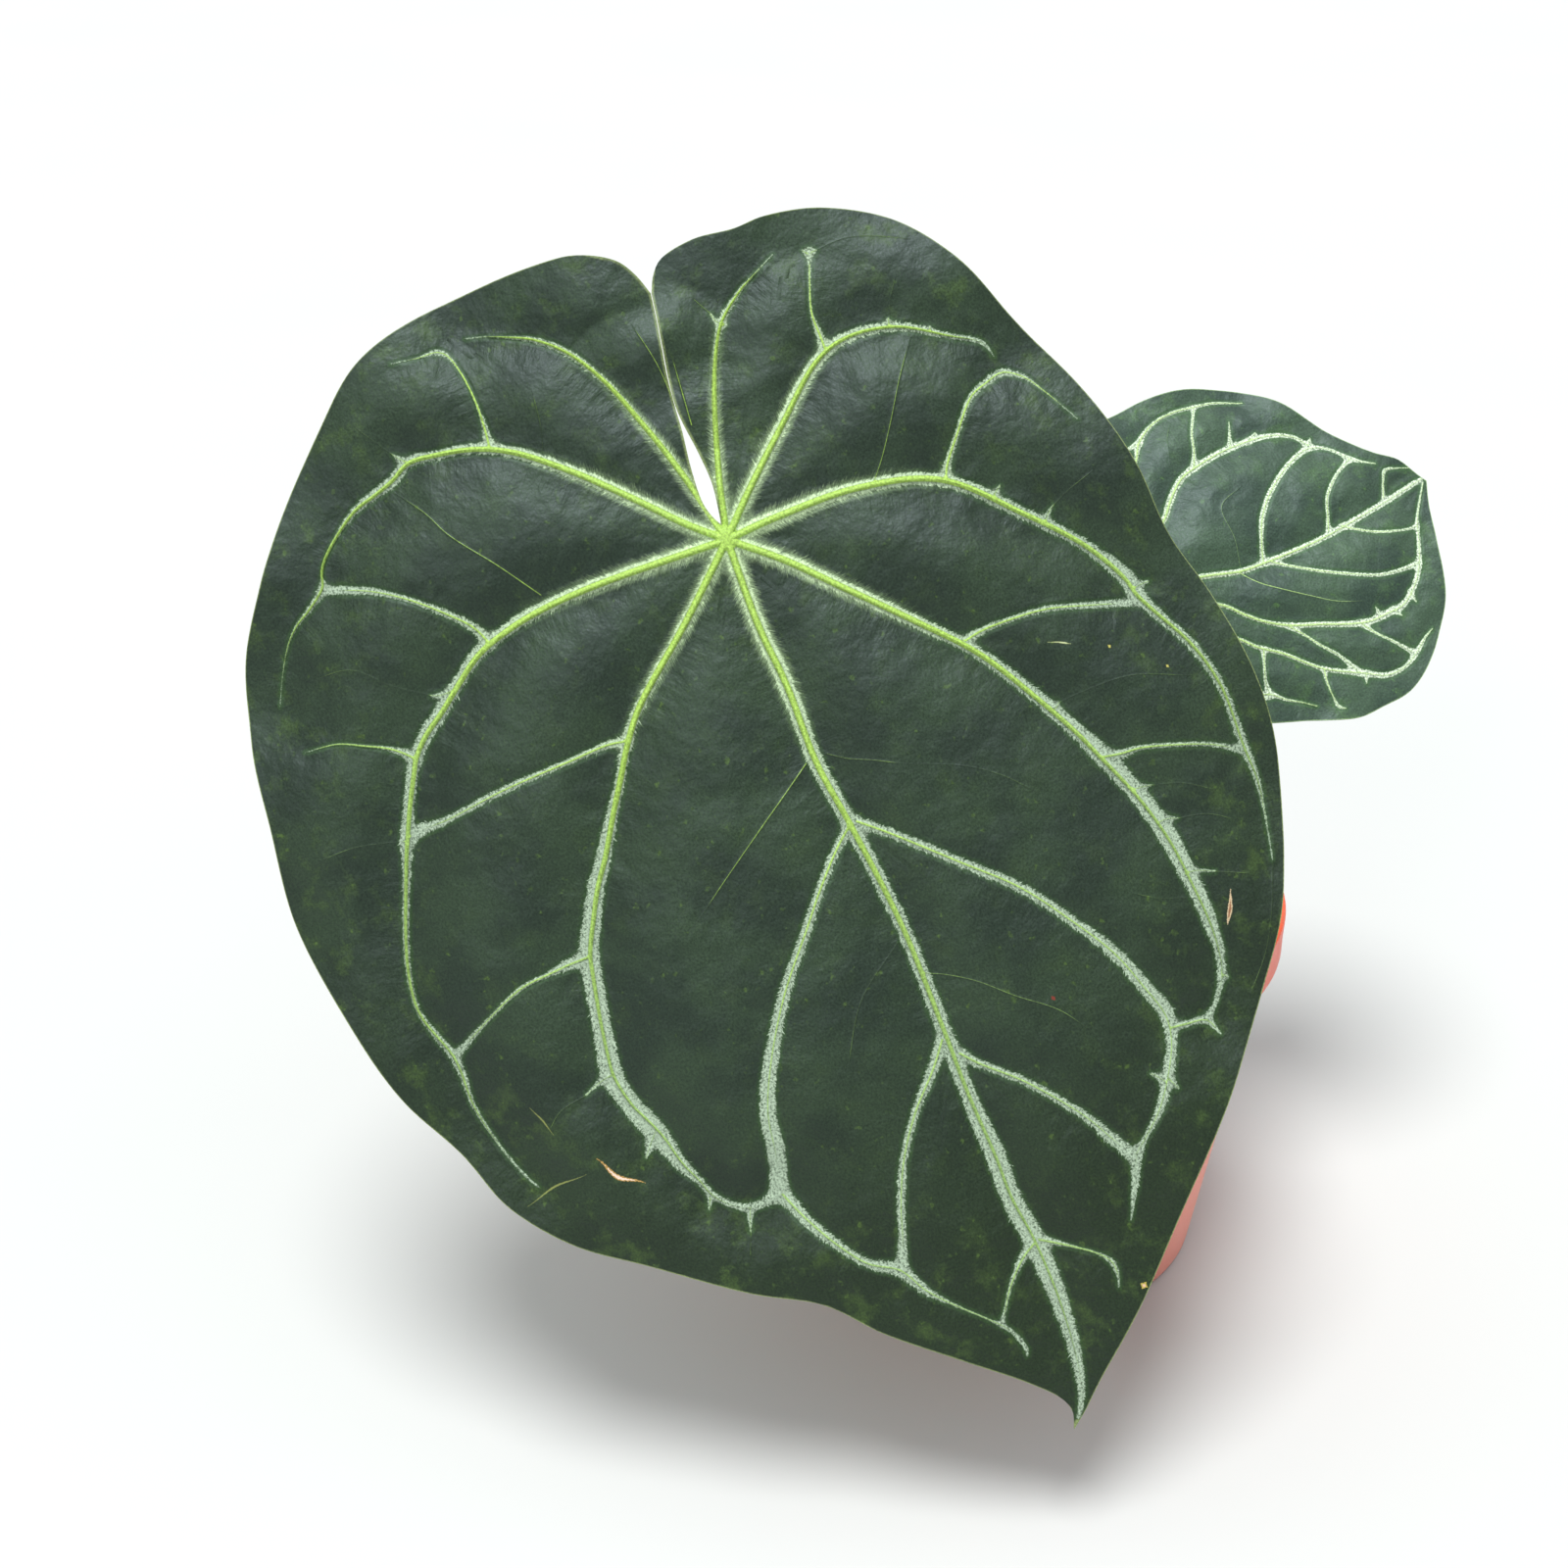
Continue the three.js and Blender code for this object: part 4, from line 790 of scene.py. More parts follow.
def make_mottle():
    """Two colours in soft patches, with a finer fleck inside them."""
    board, given, out = effect(
        "Mottle",
        {"Place": "Vector", "Size": "Float", "First": "Color", "Second": "Color", "Balance": "Float"},
        {"Colour": "Color"},
    )
    size = board.joined(given["Size"], given["Size"], given["Size"])
    patch = board.noise(board.vector("DIVIDE", given["Place"], size), 4.0, 0.6)
    share = board.step(patch, given["Balance"] - 0.14, given["Balance"] + 0.14)
    board.feed(out["Colour"], board.blend(share, given["First"], given["Second"]))
    return board.tree


def make_grain():
    """Fine grain of a given size: a height, and the colour made lighter and darker by it."""
    board, given, out = effect(
        "Fine grain",
        {"Place": "Vector", "Colour": "Color", "Size": "Float", "Contrast": "Float"},
        {"Height": "Float", "Colour": "Color"},
    )
    height = board.noise(given["Place"], 3.0, 0.6, 1.0 / given["Size"])
    board.feed(out["Height"], height)
    board.feed(out["Colour"], board.toned(given["Colour"], (height - 0.5) * given["Contrast"] + 1.0))
    return board.tree


def make_fibres():
    """Long thin streaks: Place's x runs along them, and Across is how thick one is."""
    board, given, out = effect(
        "Fibres", {"Place": "Vector", "Along": "Float", "Across": "Float"}, {"Streak": "Float"})
    sizes = board.joined(given["Along"], given["Across"], given["Across"])
    board.feed(out["Streak"], board.noise(board.vector("DIVIDE", given["Place"], sizes), 4.0, 0.65))
    return board.tree


def make_dust():
    """Dust that has settled on what faces up, thin and uneven."""
    board, given, out = effect(
        "Settled dust",
        {"Place": "Vector", "Colour": "Color", "Dust": "Color", "Amount": "Float"},
        {"Colour": "Color"},
    )
    upward = board.parts(board.node("NewGeometry", output="Normal"))[2]
    uneven = board.step(board.noise(given["Place"], 4.0, scale=0.3), 0.3, 0.75)
    cover = board.step(upward, 0.0, 0.9) * uneven * given["Amount"]
    board.feed(out["Colour"], board.blend(cover, given["Colour"], given["Dust"]))
    return board.tree


def make_worn_edges():
    """Where a piece has a sharp outer edge that handling has rubbed."""
    board, given, out = effect(
        "Worn edges", {"Place": "Vector", "Reach": "Float"}, {"Wear": "Float"})
    sharp = board.node("NewGeometry", output="Pointiness")
    uneven = board.step(board.noise(given["Place"], 4.0, scale=0.5), 0.35, 0.65)
    board.feed(out["Wear"], board.step(sharp, 0.5, given["Reach"] + 0.5) * uneven)
    return board.tree


def make_scar():
    """A thin mark from one place on the blade to another: bowed to its left, widest at its belly."""
    board, given, out = effect(
        "Scar",
        {"Place": "Vector", "Start": "Vector", "End": "Vector", "Half width": "Float", "Bow": "Float",
         "Belly": "Float", "Wobble": "Float"},
        {"Mark": "Float", "Heart": "Float"},
    )
    off = board.vector("SUBTRACT", given["Place"], given["Start"])
    line = board.vector("SUBTRACT", given["End"], given["Start"])
    length = board.vector("LENGTH", line)
    ahead = board.vector("NORMALIZE", line)
    run = board.vector("DOT_PRODUCT", off, ahead)
    across = board.vector("DOT_PRODUCT", off, board.vector("CROSS_PRODUCT", (0, 0, 1), ahead))
    share = run / length
    inner = board.step(share, 0.0, 0.5) * board.step(share, 1.0, 0.5)
    middle = length * 0.5
    past = board.math("MAXIMUM", abs(run - middle) - middle, 0.0)
    gap = board.vector("LENGTH", board.joined(across - inner * given["Bow"], past))
    body = board.math("MINIMUM", board.step(share, -0.05, given["Belly"], 0.1, 1.0),
                      board.step(share, 1.05, given["Belly"], 0.1, 1.0))
    inside = given["Half width"] * (body + given["Wobble"]) - gap
    board.feed(out["Mark"], board.step(inside, -0.12, 0.12))
    board.feed(out["Heart"], board.step(inside / given["Half width"], 0.35, 0.6))
    return board.tree


LEAF_COLOURS = {  # of the large blade, and of the small one
    "Green": ((43, 58, 39), (60, 80, 60)),
    "Deep green": ((33, 45, 32), (46, 63, 51)),
    "Patch": ((70, 92, 38), (78, 110, 58)),
    "Glow": ((50, 78, 36), (62, 98, 48)),
    "Silver": ((156, 173, 150), (208, 222, 198)),
    "Young silver": ((190, 212, 166), (202, 220, 178)),
    "Thread": ((150, 184, 98), (202, 218, 182)),
    "Rib": ((162, 198, 80), (178, 208, 126)),
    "Margin": ((136, 150, 96), (140, 168, 112)),
    # The outer green is partly the blade's own older olive and partly painted shade of the far parts that
    # droop away
    "Outer green and painted shade": ((28, 40, 17), (50, 72, 46)),
    "Underside": ((100, 128, 76), (116, 146, 92)),
}


def make_leaf_markings():
    """The colours and the fine relief of a blade, from the marks that its mesh carries.

    leaf_place is the flat place on the blade. leaf_vein holds the way along the nearest vein, the
    way out from it, and how deep in its silver a point lies. leaf_rib holds how deep in the green
    thread it lies, the way to the margin, and 1 on the underside. leaf_comb holds where the folds
    can run straight out from a vein.
    """
    board, given, out = effect(
        "Leaf markings",
        {**dict.fromkeys(LEAF_COLOURS, "Color"), "Fringe": "Float", "Reach": "Float"},
        {"Colour": "Color", "Roughness": "Float", "Height": "Float"},
    )
    place = board.mark("leaf_place")
    along, side, band = board.parts(board.mark("leaf_vein"))
    core, edge, under = board.parts(board.mark("leaf_rib"))
    outward = board.vector("LENGTH", place)
    age = board.step(outward, 0.0, given["Reach"])
    away = abs(side)

    # Feathered rims: hairs that lean towards the vein's end, in tufts, and now and then a tooth
    hair_place = board.joined(along - away * 0.7, side)
    hairs = board.noise(board.stretched(hair_place, 0.34, 3.0), 2.0, 0.6)
    tufts = board.noise(board.stretched(hair_place, 2.2, 6.0))
    teeth = board.step(board.noise(board.stretched(hair_place, 0.8, 9.0), 1.0), 0.6, 0.85)
    ragged = board.math("MULTIPLY_ADD", hairs, 2.8, -1.25)
    ragged = ragged + board.math("MULTIPLY_ADD", tufts, 1.6, -0.8) + teeth * 1.2
    ragged = ragged * given["Fringe"] * board.step(band + away, 0.1, 1.6, 0.35, 1.0)
    depth = band + ragged
    soft = board.step(age, 0.0, 0.7, 0.35, 0.2)
    silvered = board.step(depth, soft * -1.0, soft)

    # The green of the blade, with yellow-green flecks that crowd towards the margin
    tone = board.noise(place, 3.0, 0.55, 1 / 30)
    green = board.blend(board.step(tone, 0.38, 0.62), given["Deep green"], given["Green"])
    # Painted shade: far from the stalk, towards the tip and the outer margin, the green turns a dark
    # olive. This is partly the blade's own older colour and partly painted shade of the drooping parts.
    green = board.blend(board.step(outward, 140.0, 250.0, 0.0, 0.85), green, given["Outer green and painted shade"])
    patches = board.noise(place, 4.0, 0.65, 1 / 11)
    blotch = board.step(patches, 0.5, 0.7) * board.step(edge, 55.0, 4.0, 0.1, 0.42)
    green = board.blend(blotch, green, given["Patch"])
    spots = board.step(board.noise(place, scale=1 / 3.2), 0.63, 0.74)
    green = board.blend(spots * board.step(patches, 0.42, 0.6, 0.1, 0.7), green, given["Patch"])
    green = board.blend(board.step(depth, -1.7, 0.0, 0.0, 0.6), green, given["Glow"])
    fuzz = board.step(depth + board.math("MULTIPLY_ADD", hairs, 2.4, -1.2), -2.0, 0.3)
    green = board.blend(fuzz * board.step(age, 0.8, 0.0, 0.0, 0.42), green, given["Young silver"])

    # The silver, greener near the stalk, and the green thread in it
    papillae = board.noise(place, 2.0, 0.8, 1 / 0.75)
    mottled = board.step(papillae + depth * 0.05, 0.38, 0.58, board.step(age, 0.4, 1.0, 0.75, 0.25))
    silver = board.blend(age, given["Young silver"], given["Silver"])
    colour = board.blend(silvered * mottled, green, silver)
    wander = (tufts - 0.5) * 0.22
    thread = board.step(core + wander, -0.24, 0.14)
    thread_colour = board.blend(board.step(outward, 60.0, 210.0), given["Rib"], given["Thread"])
    thread_colour = board.blend(board.step(core, -0.2, 0.1), given["Patch"], thread_colour)
    colour = board.blend(thread * 0.92, colour, thread_colour)
    ahead, across, _ = board.parts(place)
    slit = board.step(abs(across), 10.0, 6.0) * board.step(ahead, -3.0, -9.0)
    rim = board.step(edge + wander, board.math("MULTIPLY_ADD", slit, 0.7, 0.4), 0.15)
    colour = board.blend(rim * 0.7, colour, given["Margin"])

    # The underside: paler, with green ribs and a net of small veins
    drift = board.node("TexNoise", {"Vector": place, "Scale": 0.12}, "Color")
    net_place = board.vector("ADD", place, board.vector("SCALE", drift, scale=4.0))
    net = board.node("TexVoronoi", {"Vector": net_place, "Scale": 0.19}, "Distance",
                     feature="DISTANCE_TO_EDGE")
    net = board.step(net, 0.16, 0.02)
    below = board.blend(board.step(patches, 0.35, 0.7, 0.0, 0.35), given["Underside"], given["Glow"])
    below = board.blend(net * 0.4, below, given["Thread"])
    below = board.blend(board.step(core, -1.3, 0.1), below, given["Rib"])
    colour = board.blend(under, colour, below)

    # Velvet: every cell is a small dome, and soft folds run out from the veins
    colour = board.toned(colour, board.step(papillae, 0.25, 0.75, 0.62, 1.4))
    folds = board.noise(place, 3.0, 0.55, 1 / 7)
    combed = board.noise(board.stretched(board.joined(along, side), 3.4, 14.0), 3.0, 0.6)
    beside = board.step(band, -12.0, -3.0) * board.step(band, 0.0, -1.5)
    beside = beside * board.parts(board.mark("leaf_comb"))[0]
    ridge = board.step(core, -1.0, 0.6) ** 2.0 * board.step(age, 1.0, 0.0, 0.4, 0.9)
    relief = (ridge + silvered * hairs * 0.2) * (1.0 - under)
    height = papillae * 0.1 + folds * 1.4 + combed * beside * 0.8 + relief + net * under * 0.35
    rough = board.step(papillae, 0.25, 0.75, 0.4, 0.58) + silvered * 0.12 - thread * 0.12

    board.feed(out["Colour"], colour)
    board.feed(out["Roughness"], rough)
    board.feed(out["Height"], height)
    return board.tree


MOTTLE = make_mottle()
GRAIN = make_grain()
FIBRES = make_fibres()
DUST = make_dust()
WORN_EDGES = make_worn_edges()
SCAR = make_scar()
LEAF_MARKINGS = make_leaf_markings()


def mottled(board, place, size, first, second, balance=0.5):
    return board.placed(MOTTLE, {"Place": place, "Size": size, "First": first, "Second": second,
                                 "Balance": balance})["Colour"]


def streaks(board, place, along, across):
    return board.placed(FIBRES, {"Place": place, "Along": along, "Across": across})["Streak"]


def grained(board, place, colour, size, contrast):
    """The colour with grain in it, and the height of the grain."""
    made = board.placed(GRAIN, {"Place": place, "Colour": colour, "Size": size, "Contrast": contrast})
    return made["Colour"], made["Height"]


def dusted(board, place, colour, dust, amount):
    inputs = {"Place": place, "Colour": colour, "Dust": dust, "Amount": amount}
    return board.placed(DUST, inputs)["Colour"]


def worn(board, place, colour, bare, reach, amount):
    wear = board.placed(WORN_EDGES, {"Place": place, "Reach": reach})["Wear"]
    return board.blend(wear * amount, colour, bare)


def lump_toned(board, colour, dark=0.55, light=1.35):
    """Each lump of the mix is a little darker or lighter than the next."""
    return board.toned(colour, board.step(board.mark("tone", "Fac"), 0.0, 1.0, dark, light))


# Finishes


def marked(board, number, fringe, reach):
    """The shared markings in the colours of the large blade, number 0, or the small one, number 1."""
    tones = {label: rgb(*pair[number]) for label, pair in LEAF_COLOURS.items()}
    return board.placed(LEAF_MARKINGS, {**tones, "Fringe": fringe, "Reach": reach})


TAN, PALE, OLIVE, RUST = rgb(176, 138, 76), rgb(236, 208, 190), rgb(126, 132, 72), rgb(120, 48, 34)
LARGE_SCARS = (  # from, to, half width, bow, belly, and the colours of rim and heart
    ((162.5, -106), (175, -95), 0.75, -2.1, 0.5, TAN, PALE),
    ((155.5, 106.5), (165.5, 102), 0.7, 0.3, 0.62, rgb(210, 184, 148), rgb(132, 84, 54)),
    ((169.5, -132.5), (166, -111), 0.3, 1.2, 0.5, OLIVE, OLIVE),
    ((140.5, -120), (151, -116), 0.25, 0.4, 0.5, OLIVE, OLIVE),
    ((64, 80), (67, 86.5), 0.25, 0.2, 0.7, rgb(170, 178, 124), rgb(190, 196, 150)),
    ((71.5, 97.2), (72.5, 97.8), 0.5, 0, 0.5, rgb(176, 168, 82), rgb(190, 182, 100)),
    ((83.5, 112.2), (84.5, 112.8), 0.4, 0, 0.5, rgb(176, 168, 82), rgb(190, 182, 100)),
    ((165.2, 42.2), (166.8, 42.9), 0.6, 0, 0.5, RUST, RUST),
    ((259.4, 36.8), (261.2, 38.2), 1.1, 0, 0.5, rgb(178, 160, 70), rgb(220, 178, 156)),
)


def large_blade_finish():
    material, board, skin = finish("Velvet leaf")
    marks = marked(board, 0, 0.85, 110.0)
    colour = marks["Colour"]
    place = board.mark("leaf_place")
    wobble = board.noise(place, 1.0, scale=1.6) - 0.5
    for start, end, half_width, bow, belly, rim, heart in LARGE_SCARS:
        scar = board.placed(SCAR, {
            "Place": place, "Start": (*start, 0), "End": (*end, 0), "Half width": half_width,
            "Bow": bow, "Belly": belly, "Wobble": wobble})
        colour = board.blend(scar["Mark"] * 0.9, colour, rim)
        colour = board.blend(scar["Heart"] * 0.9, colour, heart)
    set_skin(board, skin, colour, marks["Height"], 1.0, 0.7, Roughness=marks["Roughness"],
             Specular_IOR_Level=0.42, Specular_Tint=rgb(218, 234, 240), Sheen_Weight=0.05,
             Sheen_Roughness=0.4, Sheen_Tint=rgb(196, 212, 220))
    return material


def small_blade_finish():
    material, board, skin = finish("Velvet young leaf")
    marks = marked(board, 1, 0.4, 60.0)
    set_skin(board, skin, marks["Colour"], marks["Height"], 1.0, 0.6, Roughness=marks["Roughness"],
             Specular_IOR_Level=0.55, Specular_Tint=rgb(218, 236, 238), Sheen_Weight=0.08,
             Sheen_Roughness=0.4, Sheen_Tint=rgb(190, 214, 220))
    return material


def grown_finish(name):
    """A finish for what grew as a tube: also the way along it and round it, and the share of it."""
    material, board, skin = finish(name)
    along, around, share = board.parts(board.mark("growth"))
    return material, board, skin, board.place(), along, around, share


def stalk_finish():
    material, board, skin, place, along, around, share = grown_finish("Leaf stalk skin")
    lines = board.joined(along, around)
    streak = streaks(board, lines, 26.0, 0.9)
    green = mottled(board, place, 18.0, rgb(104, 134, 62), rgb(132, 160, 78))
    green = board.blend(board.step(streak, 0.5, 0.75, 0.0, 0.55), green, rgb(160, 184, 104))
    foot = board.step(along, 46.0, 4.0)
    green = board.blend(foot * 0.75, green, rgb(108, 78, 52))
    knee = board.step(share, 0.86, 0.97)
    green = board.blend(knee * 0.7, green, rgb(150, 176, 76))
    pores = board.step(board.noise(board.stretched(lines, 2.6, 0.9), 1.0), 0.71, 0.76)
    colour = board.blend(pores * 0.7, green, rgb(196, 206, 150))
    colour, grain = grained(board, place, colour, 0.5, 0.3)
    height = streak * 0.25 + pores * 0.08 + grain * 0.04
    set_skin(board, skin, colour, height, 1.0, 0.7, Roughness=0.42, Specular_IOR_Level=0.45,
             Subsurface_Weight=0.06, Subsurface_Scale=0.003)
    return material


def crown_finish():
    material, board, skin, place, along, around, _ = grown_finish("Crown bark")
    base = mottled(board, place, 7.0, rgb(112, 118, 62), rgb(98, 74, 46))
    rings = streaks(board, board.joined(around, along), 14.0, 0.8)
    colour = board.blend(board.step(rings, 0.45, 0.7, 0.0, 0.6), base, rgb(150, 128, 84))
    crack = board.step(board.noise(place, 5.0, 0.7, 0.45), 0.42, 0.34)
    colour = board.blend(crack, colour, rgb(52, 38, 26))
    colour, grain = grained(board, place, colour, 0.6, 0.5)
    colour = dusted(board, place, colour, rgb(150, 132, 104), 0.3)
    set_skin(board, skin, colour, rings * 0.6 + grain * 0.2, 1.0, 0.9, Roughness=0.78,
             Specular_IOR_Level=0.25)
    return material


def root_finish():
    material, board, skin, place, along, around, share = grown_finish("Aerial root felt")
    base = mottled(board, place, 5.0, rgb(176, 156, 116), rgb(128, 98, 64), 0.52)
    streak = streaks(board, board.joined(along, around), 9.0, 0.45)
    colour = board.blend(board.step(streak, 0.4, 0.7, 0.0, 0.5), base, rgb(206, 192, 156))
    damp = board.step(share, 0.45, 1.0)
    colour = board.blend(damp * 0.7, colour, rgb(84, 60, 40))
    colour, grain = grained(board, place, colour, 0.35, 0.5)
    set_skin(board, skin, colour, grain, 0.25, 0.9, Roughness=0.85, Specular_IOR_Level=0.2,
             Sheen_Weight=0.25, Sheen_Roughness=0.5)
    return material


def sheath_finish():
    material, board, skin, place, along, around, share = grown_finish("Dry sheath paper")
    streak = streaks(board, board.joined(along, around), 30.0, 0.55)
    base = mottled(board, place, 9.0, rgb(142, 104, 62), rgb(96, 64, 38))
    colour = board.blend(board.step(streak, 0.42, 0.68, 0.0, 0.85), base, rgb(184, 148, 98))
    tip = board.step(share, 0.6, 1.0)
    colour = board.blend(tip * 0.5, colour, rgb(74, 48, 30))
    colour, grain = grained(board, place, colour, 0.3, 0.4)
    set_skin(board, skin, colour, streak * 0.5 + grain * 0.1, 1.0, 0.8, Roughness=0.8,
             Specular_IOR_Level=0.2)
    return material


def bark_finish():
    material, board, skin = finish("Bark chips")
    place = board.place()
    streak = streaks(board, place, 7.0, 0.7)
    base = mottled(board, place, 6.0, rgb(112, 74, 46), rgb(70, 46, 32))
    colour = board.blend(board.step(streak, 0.5, 0.75, 0.0, 0.6), base, rgb(150, 108, 72))
    colour = worn(board, place, lump_toned(board, colour), rgb(164, 124, 88), 0.12, 0.5)
    colour, grain = grained(board, place, colour, 0.5, 0.5)
    colour = dusted(board, place, colour, rgb(128, 106, 82), 0.25)
    set_skin(board, skin, colour, streak * 0.6 + grain * 0.2, 1.0, 0.9, Roughness=0.85,
             Specular_IOR_Level=0.2)
    return material


def soil_finish():
    material, board, skin = finish("Fine mix")
    place = board.place()
    base = mottled(board, place, 5.0, rgb(62, 44, 32), rgb(40, 29, 22))
    colour, grain = grained(board, place, base, 0.9, 1.1)
    streak = streaks(board, place, 6.0, 0.5)
    colour = board.blend(board.step(streak, 0.62, 0.72, 0.0, 0.5), colour, rgb(128, 90, 58))
    set_skin(board, skin, colour, grain, 0.9, 1.0, Roughness=0.92, Specular_IOR_Level=0.15)
    return material


def perlite_finish():
    material, board, skin = finish("Perlite")
    place = board.place()
    pits = board.node("TexVoronoi", {"Vector": place, "Scale": 1.6}, "Distance", feature="F1")
    base = board.blend(board.step(pits, 0.1, 0.5), rgb(168, 160, 148), rgb(238, 234, 226))
    stain = board.step(board.noise(place, 3.0, scale=0.35), 0.5, 0.8, 0.0, 0.5)
    colour = lump_toned(board, board.blend(stain, base, rgb(150, 124, 92)), 0.85, 1.05)
    set_skin(board, skin, colour, board.step(pits, 0.0, 0.45), 0.35, 0.9, Roughness=0.9,
             Specular_IOR_Level=0.3)
    return material


def coir_finish():
    material, board, skin = finish("Coir fibre")
    place = board.place()
    fleck = board.noise(place, 3.0, 0.6, 1 / 0.8)
    base = lump_toned(board, board.blend(fleck, rgb(120, 80, 44), rgb(178, 130, 80)), 0.7, 1.2)
    colour, grain = grained(board, place, base, 0.8, 0.6)
    set_skin(board, skin, colour, grain, 0.1, 0.6, Roughness=0.8, Specular_IOR_Level=0.25)
    return material


def moss_finish():
    material, board, skin = finish("Moss")
    place = board.place()
    base = mottled(board, place, 6.0, rgb(86, 110, 40), rgb(122, 138, 58))
    colour, grain = grained(board, place, lump_toned(board, base, 0.6, 1.3), 0.6, 0.7)
    set_skin(board, skin, colour, grain, 0.2, 0.6, Roughness=0.8, Sheen_Weight=0.2)
    return material


def pot_finish():
    material, board, skin = finish("Orange pot plastic")
    place = board.place()
    base = mottled(board, place, 60.0, rgb(228, 80, 42), rgb(236, 94, 56))
    uneven = board.noise(place, 5.0, 0.6, 1 / 16)
    # Painted sheen: a pale pink reflection painted onto the wall. There is none under the collar and most
    # near the foot, and there the plastic is also a little rougher.
    painted_sheen = board.step(board.parts(place)[2], 124.0, 34.0) + (uneven - 0.5) * 0.4
    painted_sheen = board.step(painted_sheen, 0.0, 1.0) * 0.72
    colour = board.blend(painted_sheen, base, rgb(252, 178, 164))
    speckle = board.step(board.noise(place, 3.0, scale=0.9), 0.68, 0.76, 0.0, 0.3)
    colour = board.blend(speckle, colour, rgb(236, 196, 182))
    colour = worn(board, place, colour, rgb(242, 150, 120), 0.1, 0.35)
    colour = dusted(board, place, colour, rgb(150, 120, 96), 0.28)
    colour, grain = grained(board, place, colour, 0.8, 0.06)
    rough = painted_sheen * 0.3 + board.step(uneven, 0.3, 0.7, 0.3, 0.42)
    set_skin(board, skin, colour, grain * 0.03 + uneven * 0.25, 1.0, 0.5, Roughness=rough,
             Specular_IOR_Level=0.5, Subsurface_Weight=0.08, Subsurface_Scale=0.004)
    return material


# Blades

LATTICE = {"large": 1.65, "small": 1.05}  # millimetres between the mesh points of a blade
SPUR = ((0.05, 0.02), 0.1, (1, 0.5), 0.3)  # core, crest, width and rise of a short spur
THREAD = (0.12, (0.9, 0.5), 0.4)  # crest, width and rise of a bare thread
THREAD_CORE = (-0.28, 0.12)  # half the width of a bare thread, at strength 0 and 1
FILLET = 0.55  # how softly the silver of two veins runs together
FAR = 14.0  # beyond this a vein leaves no mark
RIB_FADE = 0.7  # share of its height that a rib loses from its root to its end
VEIN_SHIFT = 37.0  # keeps the grain of one vein from lining up with the next one's
RIB_FOOT = 0.62  # half the width of a rib's foot on the underside, as a share of its width
RIDGE = 0.2  # how much wider a vein's ridge is than its thread, to each side
BOSS_CENTRE = 1.5  # of the swelling over the stalk's end, along the midrib
EDGE_THICKNESS = 0.5  # share of the thickness that is left at the margin
COARSE_FOLDS = (0.46, 14, 3)  # height, size and seed of the folds all over a blade
FINE_FOLDS = (0.15, 6, 8)
COMBED_FOLDS = (0.24, 4.6, 5)  # those that run straight out from a vein
PILLOW = (1.1, 8)  # how far a field stands up between all its veins, and how soon
RIDGE_ROWS = (0.45, 0.9, 1.4, 2.2)  # rows of mesh points beside a vein, in widths of its ridge
RIDGED_CREST = 0.2  # from this crest on, a vein gets those rows
ROW_ROOM = 0.3  # how near a row's point may be to a vein or the margin, in steps of the lattice
LATTICE_ROOM = 0.62  # how near a lattice point may be to any other


def leaf_frame(leaf):
    """From the flat blade to where it hangs: leaning back, rolled, and turned about the vertical."""
    turn, tilt, spin = (math.radians(leaf[name]) for name in ("yaw", "lean", "roll"))
    right = Vector((math.cos(turn), math.sin(turn), 0))
    normal = Vector((math.sin(turn) * math.cos(tilt), -math.cos(turn) * math.cos(tilt), math.sin(tilt)))
    up = normal.cross(right)
    along = right * math.sin(spin) - up * math.cos(spin)
    across = right * math.cos(spin) + up * math.sin(spin)
    return np.array((along, across, normal)), np.array(leaf["attachment"])


def outline_of(leaf, outline_step, inner_step):
    """The closed margin, without a repeated last point."""
    steps = {"right_inner": inner_step, "right_outer": outline_step,
             "left_outer": outline_step, "left_inner": inner_step}
    return np.vstack([smooth_line(leaf["margin"][part], step)[:-1] for part, step in steps.items()])


def blade_height(leaf, points):
    """Height of the upper side: drooping sides, tip and lobes, billows between the main veins that
    sink to them, and a waved margin. Also gives each point's distance to the margin."""
    x, y = points.T
    droop, billow, wave = leaf["droop"], leaf["billow"], leaf["wave"]
    sag = droop["side"] * (y / leaf["half_width"]) ** 2
    sag += droop["tip"] * (np.maximum(x, 0) / leaf["length"]) ** 2
    sag += droop["lobe"] * (np.minimum(x, 0) / leaf["lobe_length"]) ** 2
    ribs = leaf["primaries"]["lines"].values()
    lines = [np.array([point[:2] for point in rib], float) for rib in ribs]
    gaps = np.array([nearest_on(line, points)[0] for line in lines])
    bulge = billow["height"] * np.prod(1 - np.exp(-((gaps / billow["reach"]) ** 2)), axis=0)
    outline = outline_of(leaf, leaf["outline_step"], leaf["inner_step"])
    loop = np.vstack([outline, outline[:1]])
    waves = np.linalg.norm(np.diff(loop, axis=0), axis=1).sum() / wave["length"]
    to_edge, t, _ = nearest_on(loop, points)
    ripple = wave["height"] * np.abs(np.sin(TURN * t)) * np.exp(-to_edge / wave["reach"])
    return bulge - sag + ripple * np.sin(TURN * waves * t), to_edge


def traced(points, step, core, crest, width, rise):
    """One vein: its fine line, the reach of its silver on both sides, and its other sizes."""
    rows = [[*point, point[2]] if len(point) == 3 else point for point in points]
    fine = smooth_line(rows, step)
    return {"line": fine[:, :2], "reach": np.maximum(fine[:, 2:], 0), "core": core, "crest": crest,
            "width": width, "rise": rise}


def veins_of(leaf, step):
    """Every vein of a blade, the short spurs and the bare threads too."""
    found = []
    for kind in ("primaries", "secondaries"):
        facts = leaf[kind]
        sizes = [facts[name] for name in ("core", "crest", "width", "rise")]
        found += [traced(points, step, *sizes) for points in facts["lines"].values()]
    found += [traced(points, step, *SPUR) for points in leaf["spurs"]]
    for points, start, end in leaf["threads"]:
        bare = [(*point, 0) for point in points]
        core = [THREAD_CORE[0] + (THREAD_CORE[1] - THREAD_CORE[0]) * share for share in (start, end)]
        found.append({**traced(bare, step, core, *THREAD), "bare": True})
    return found


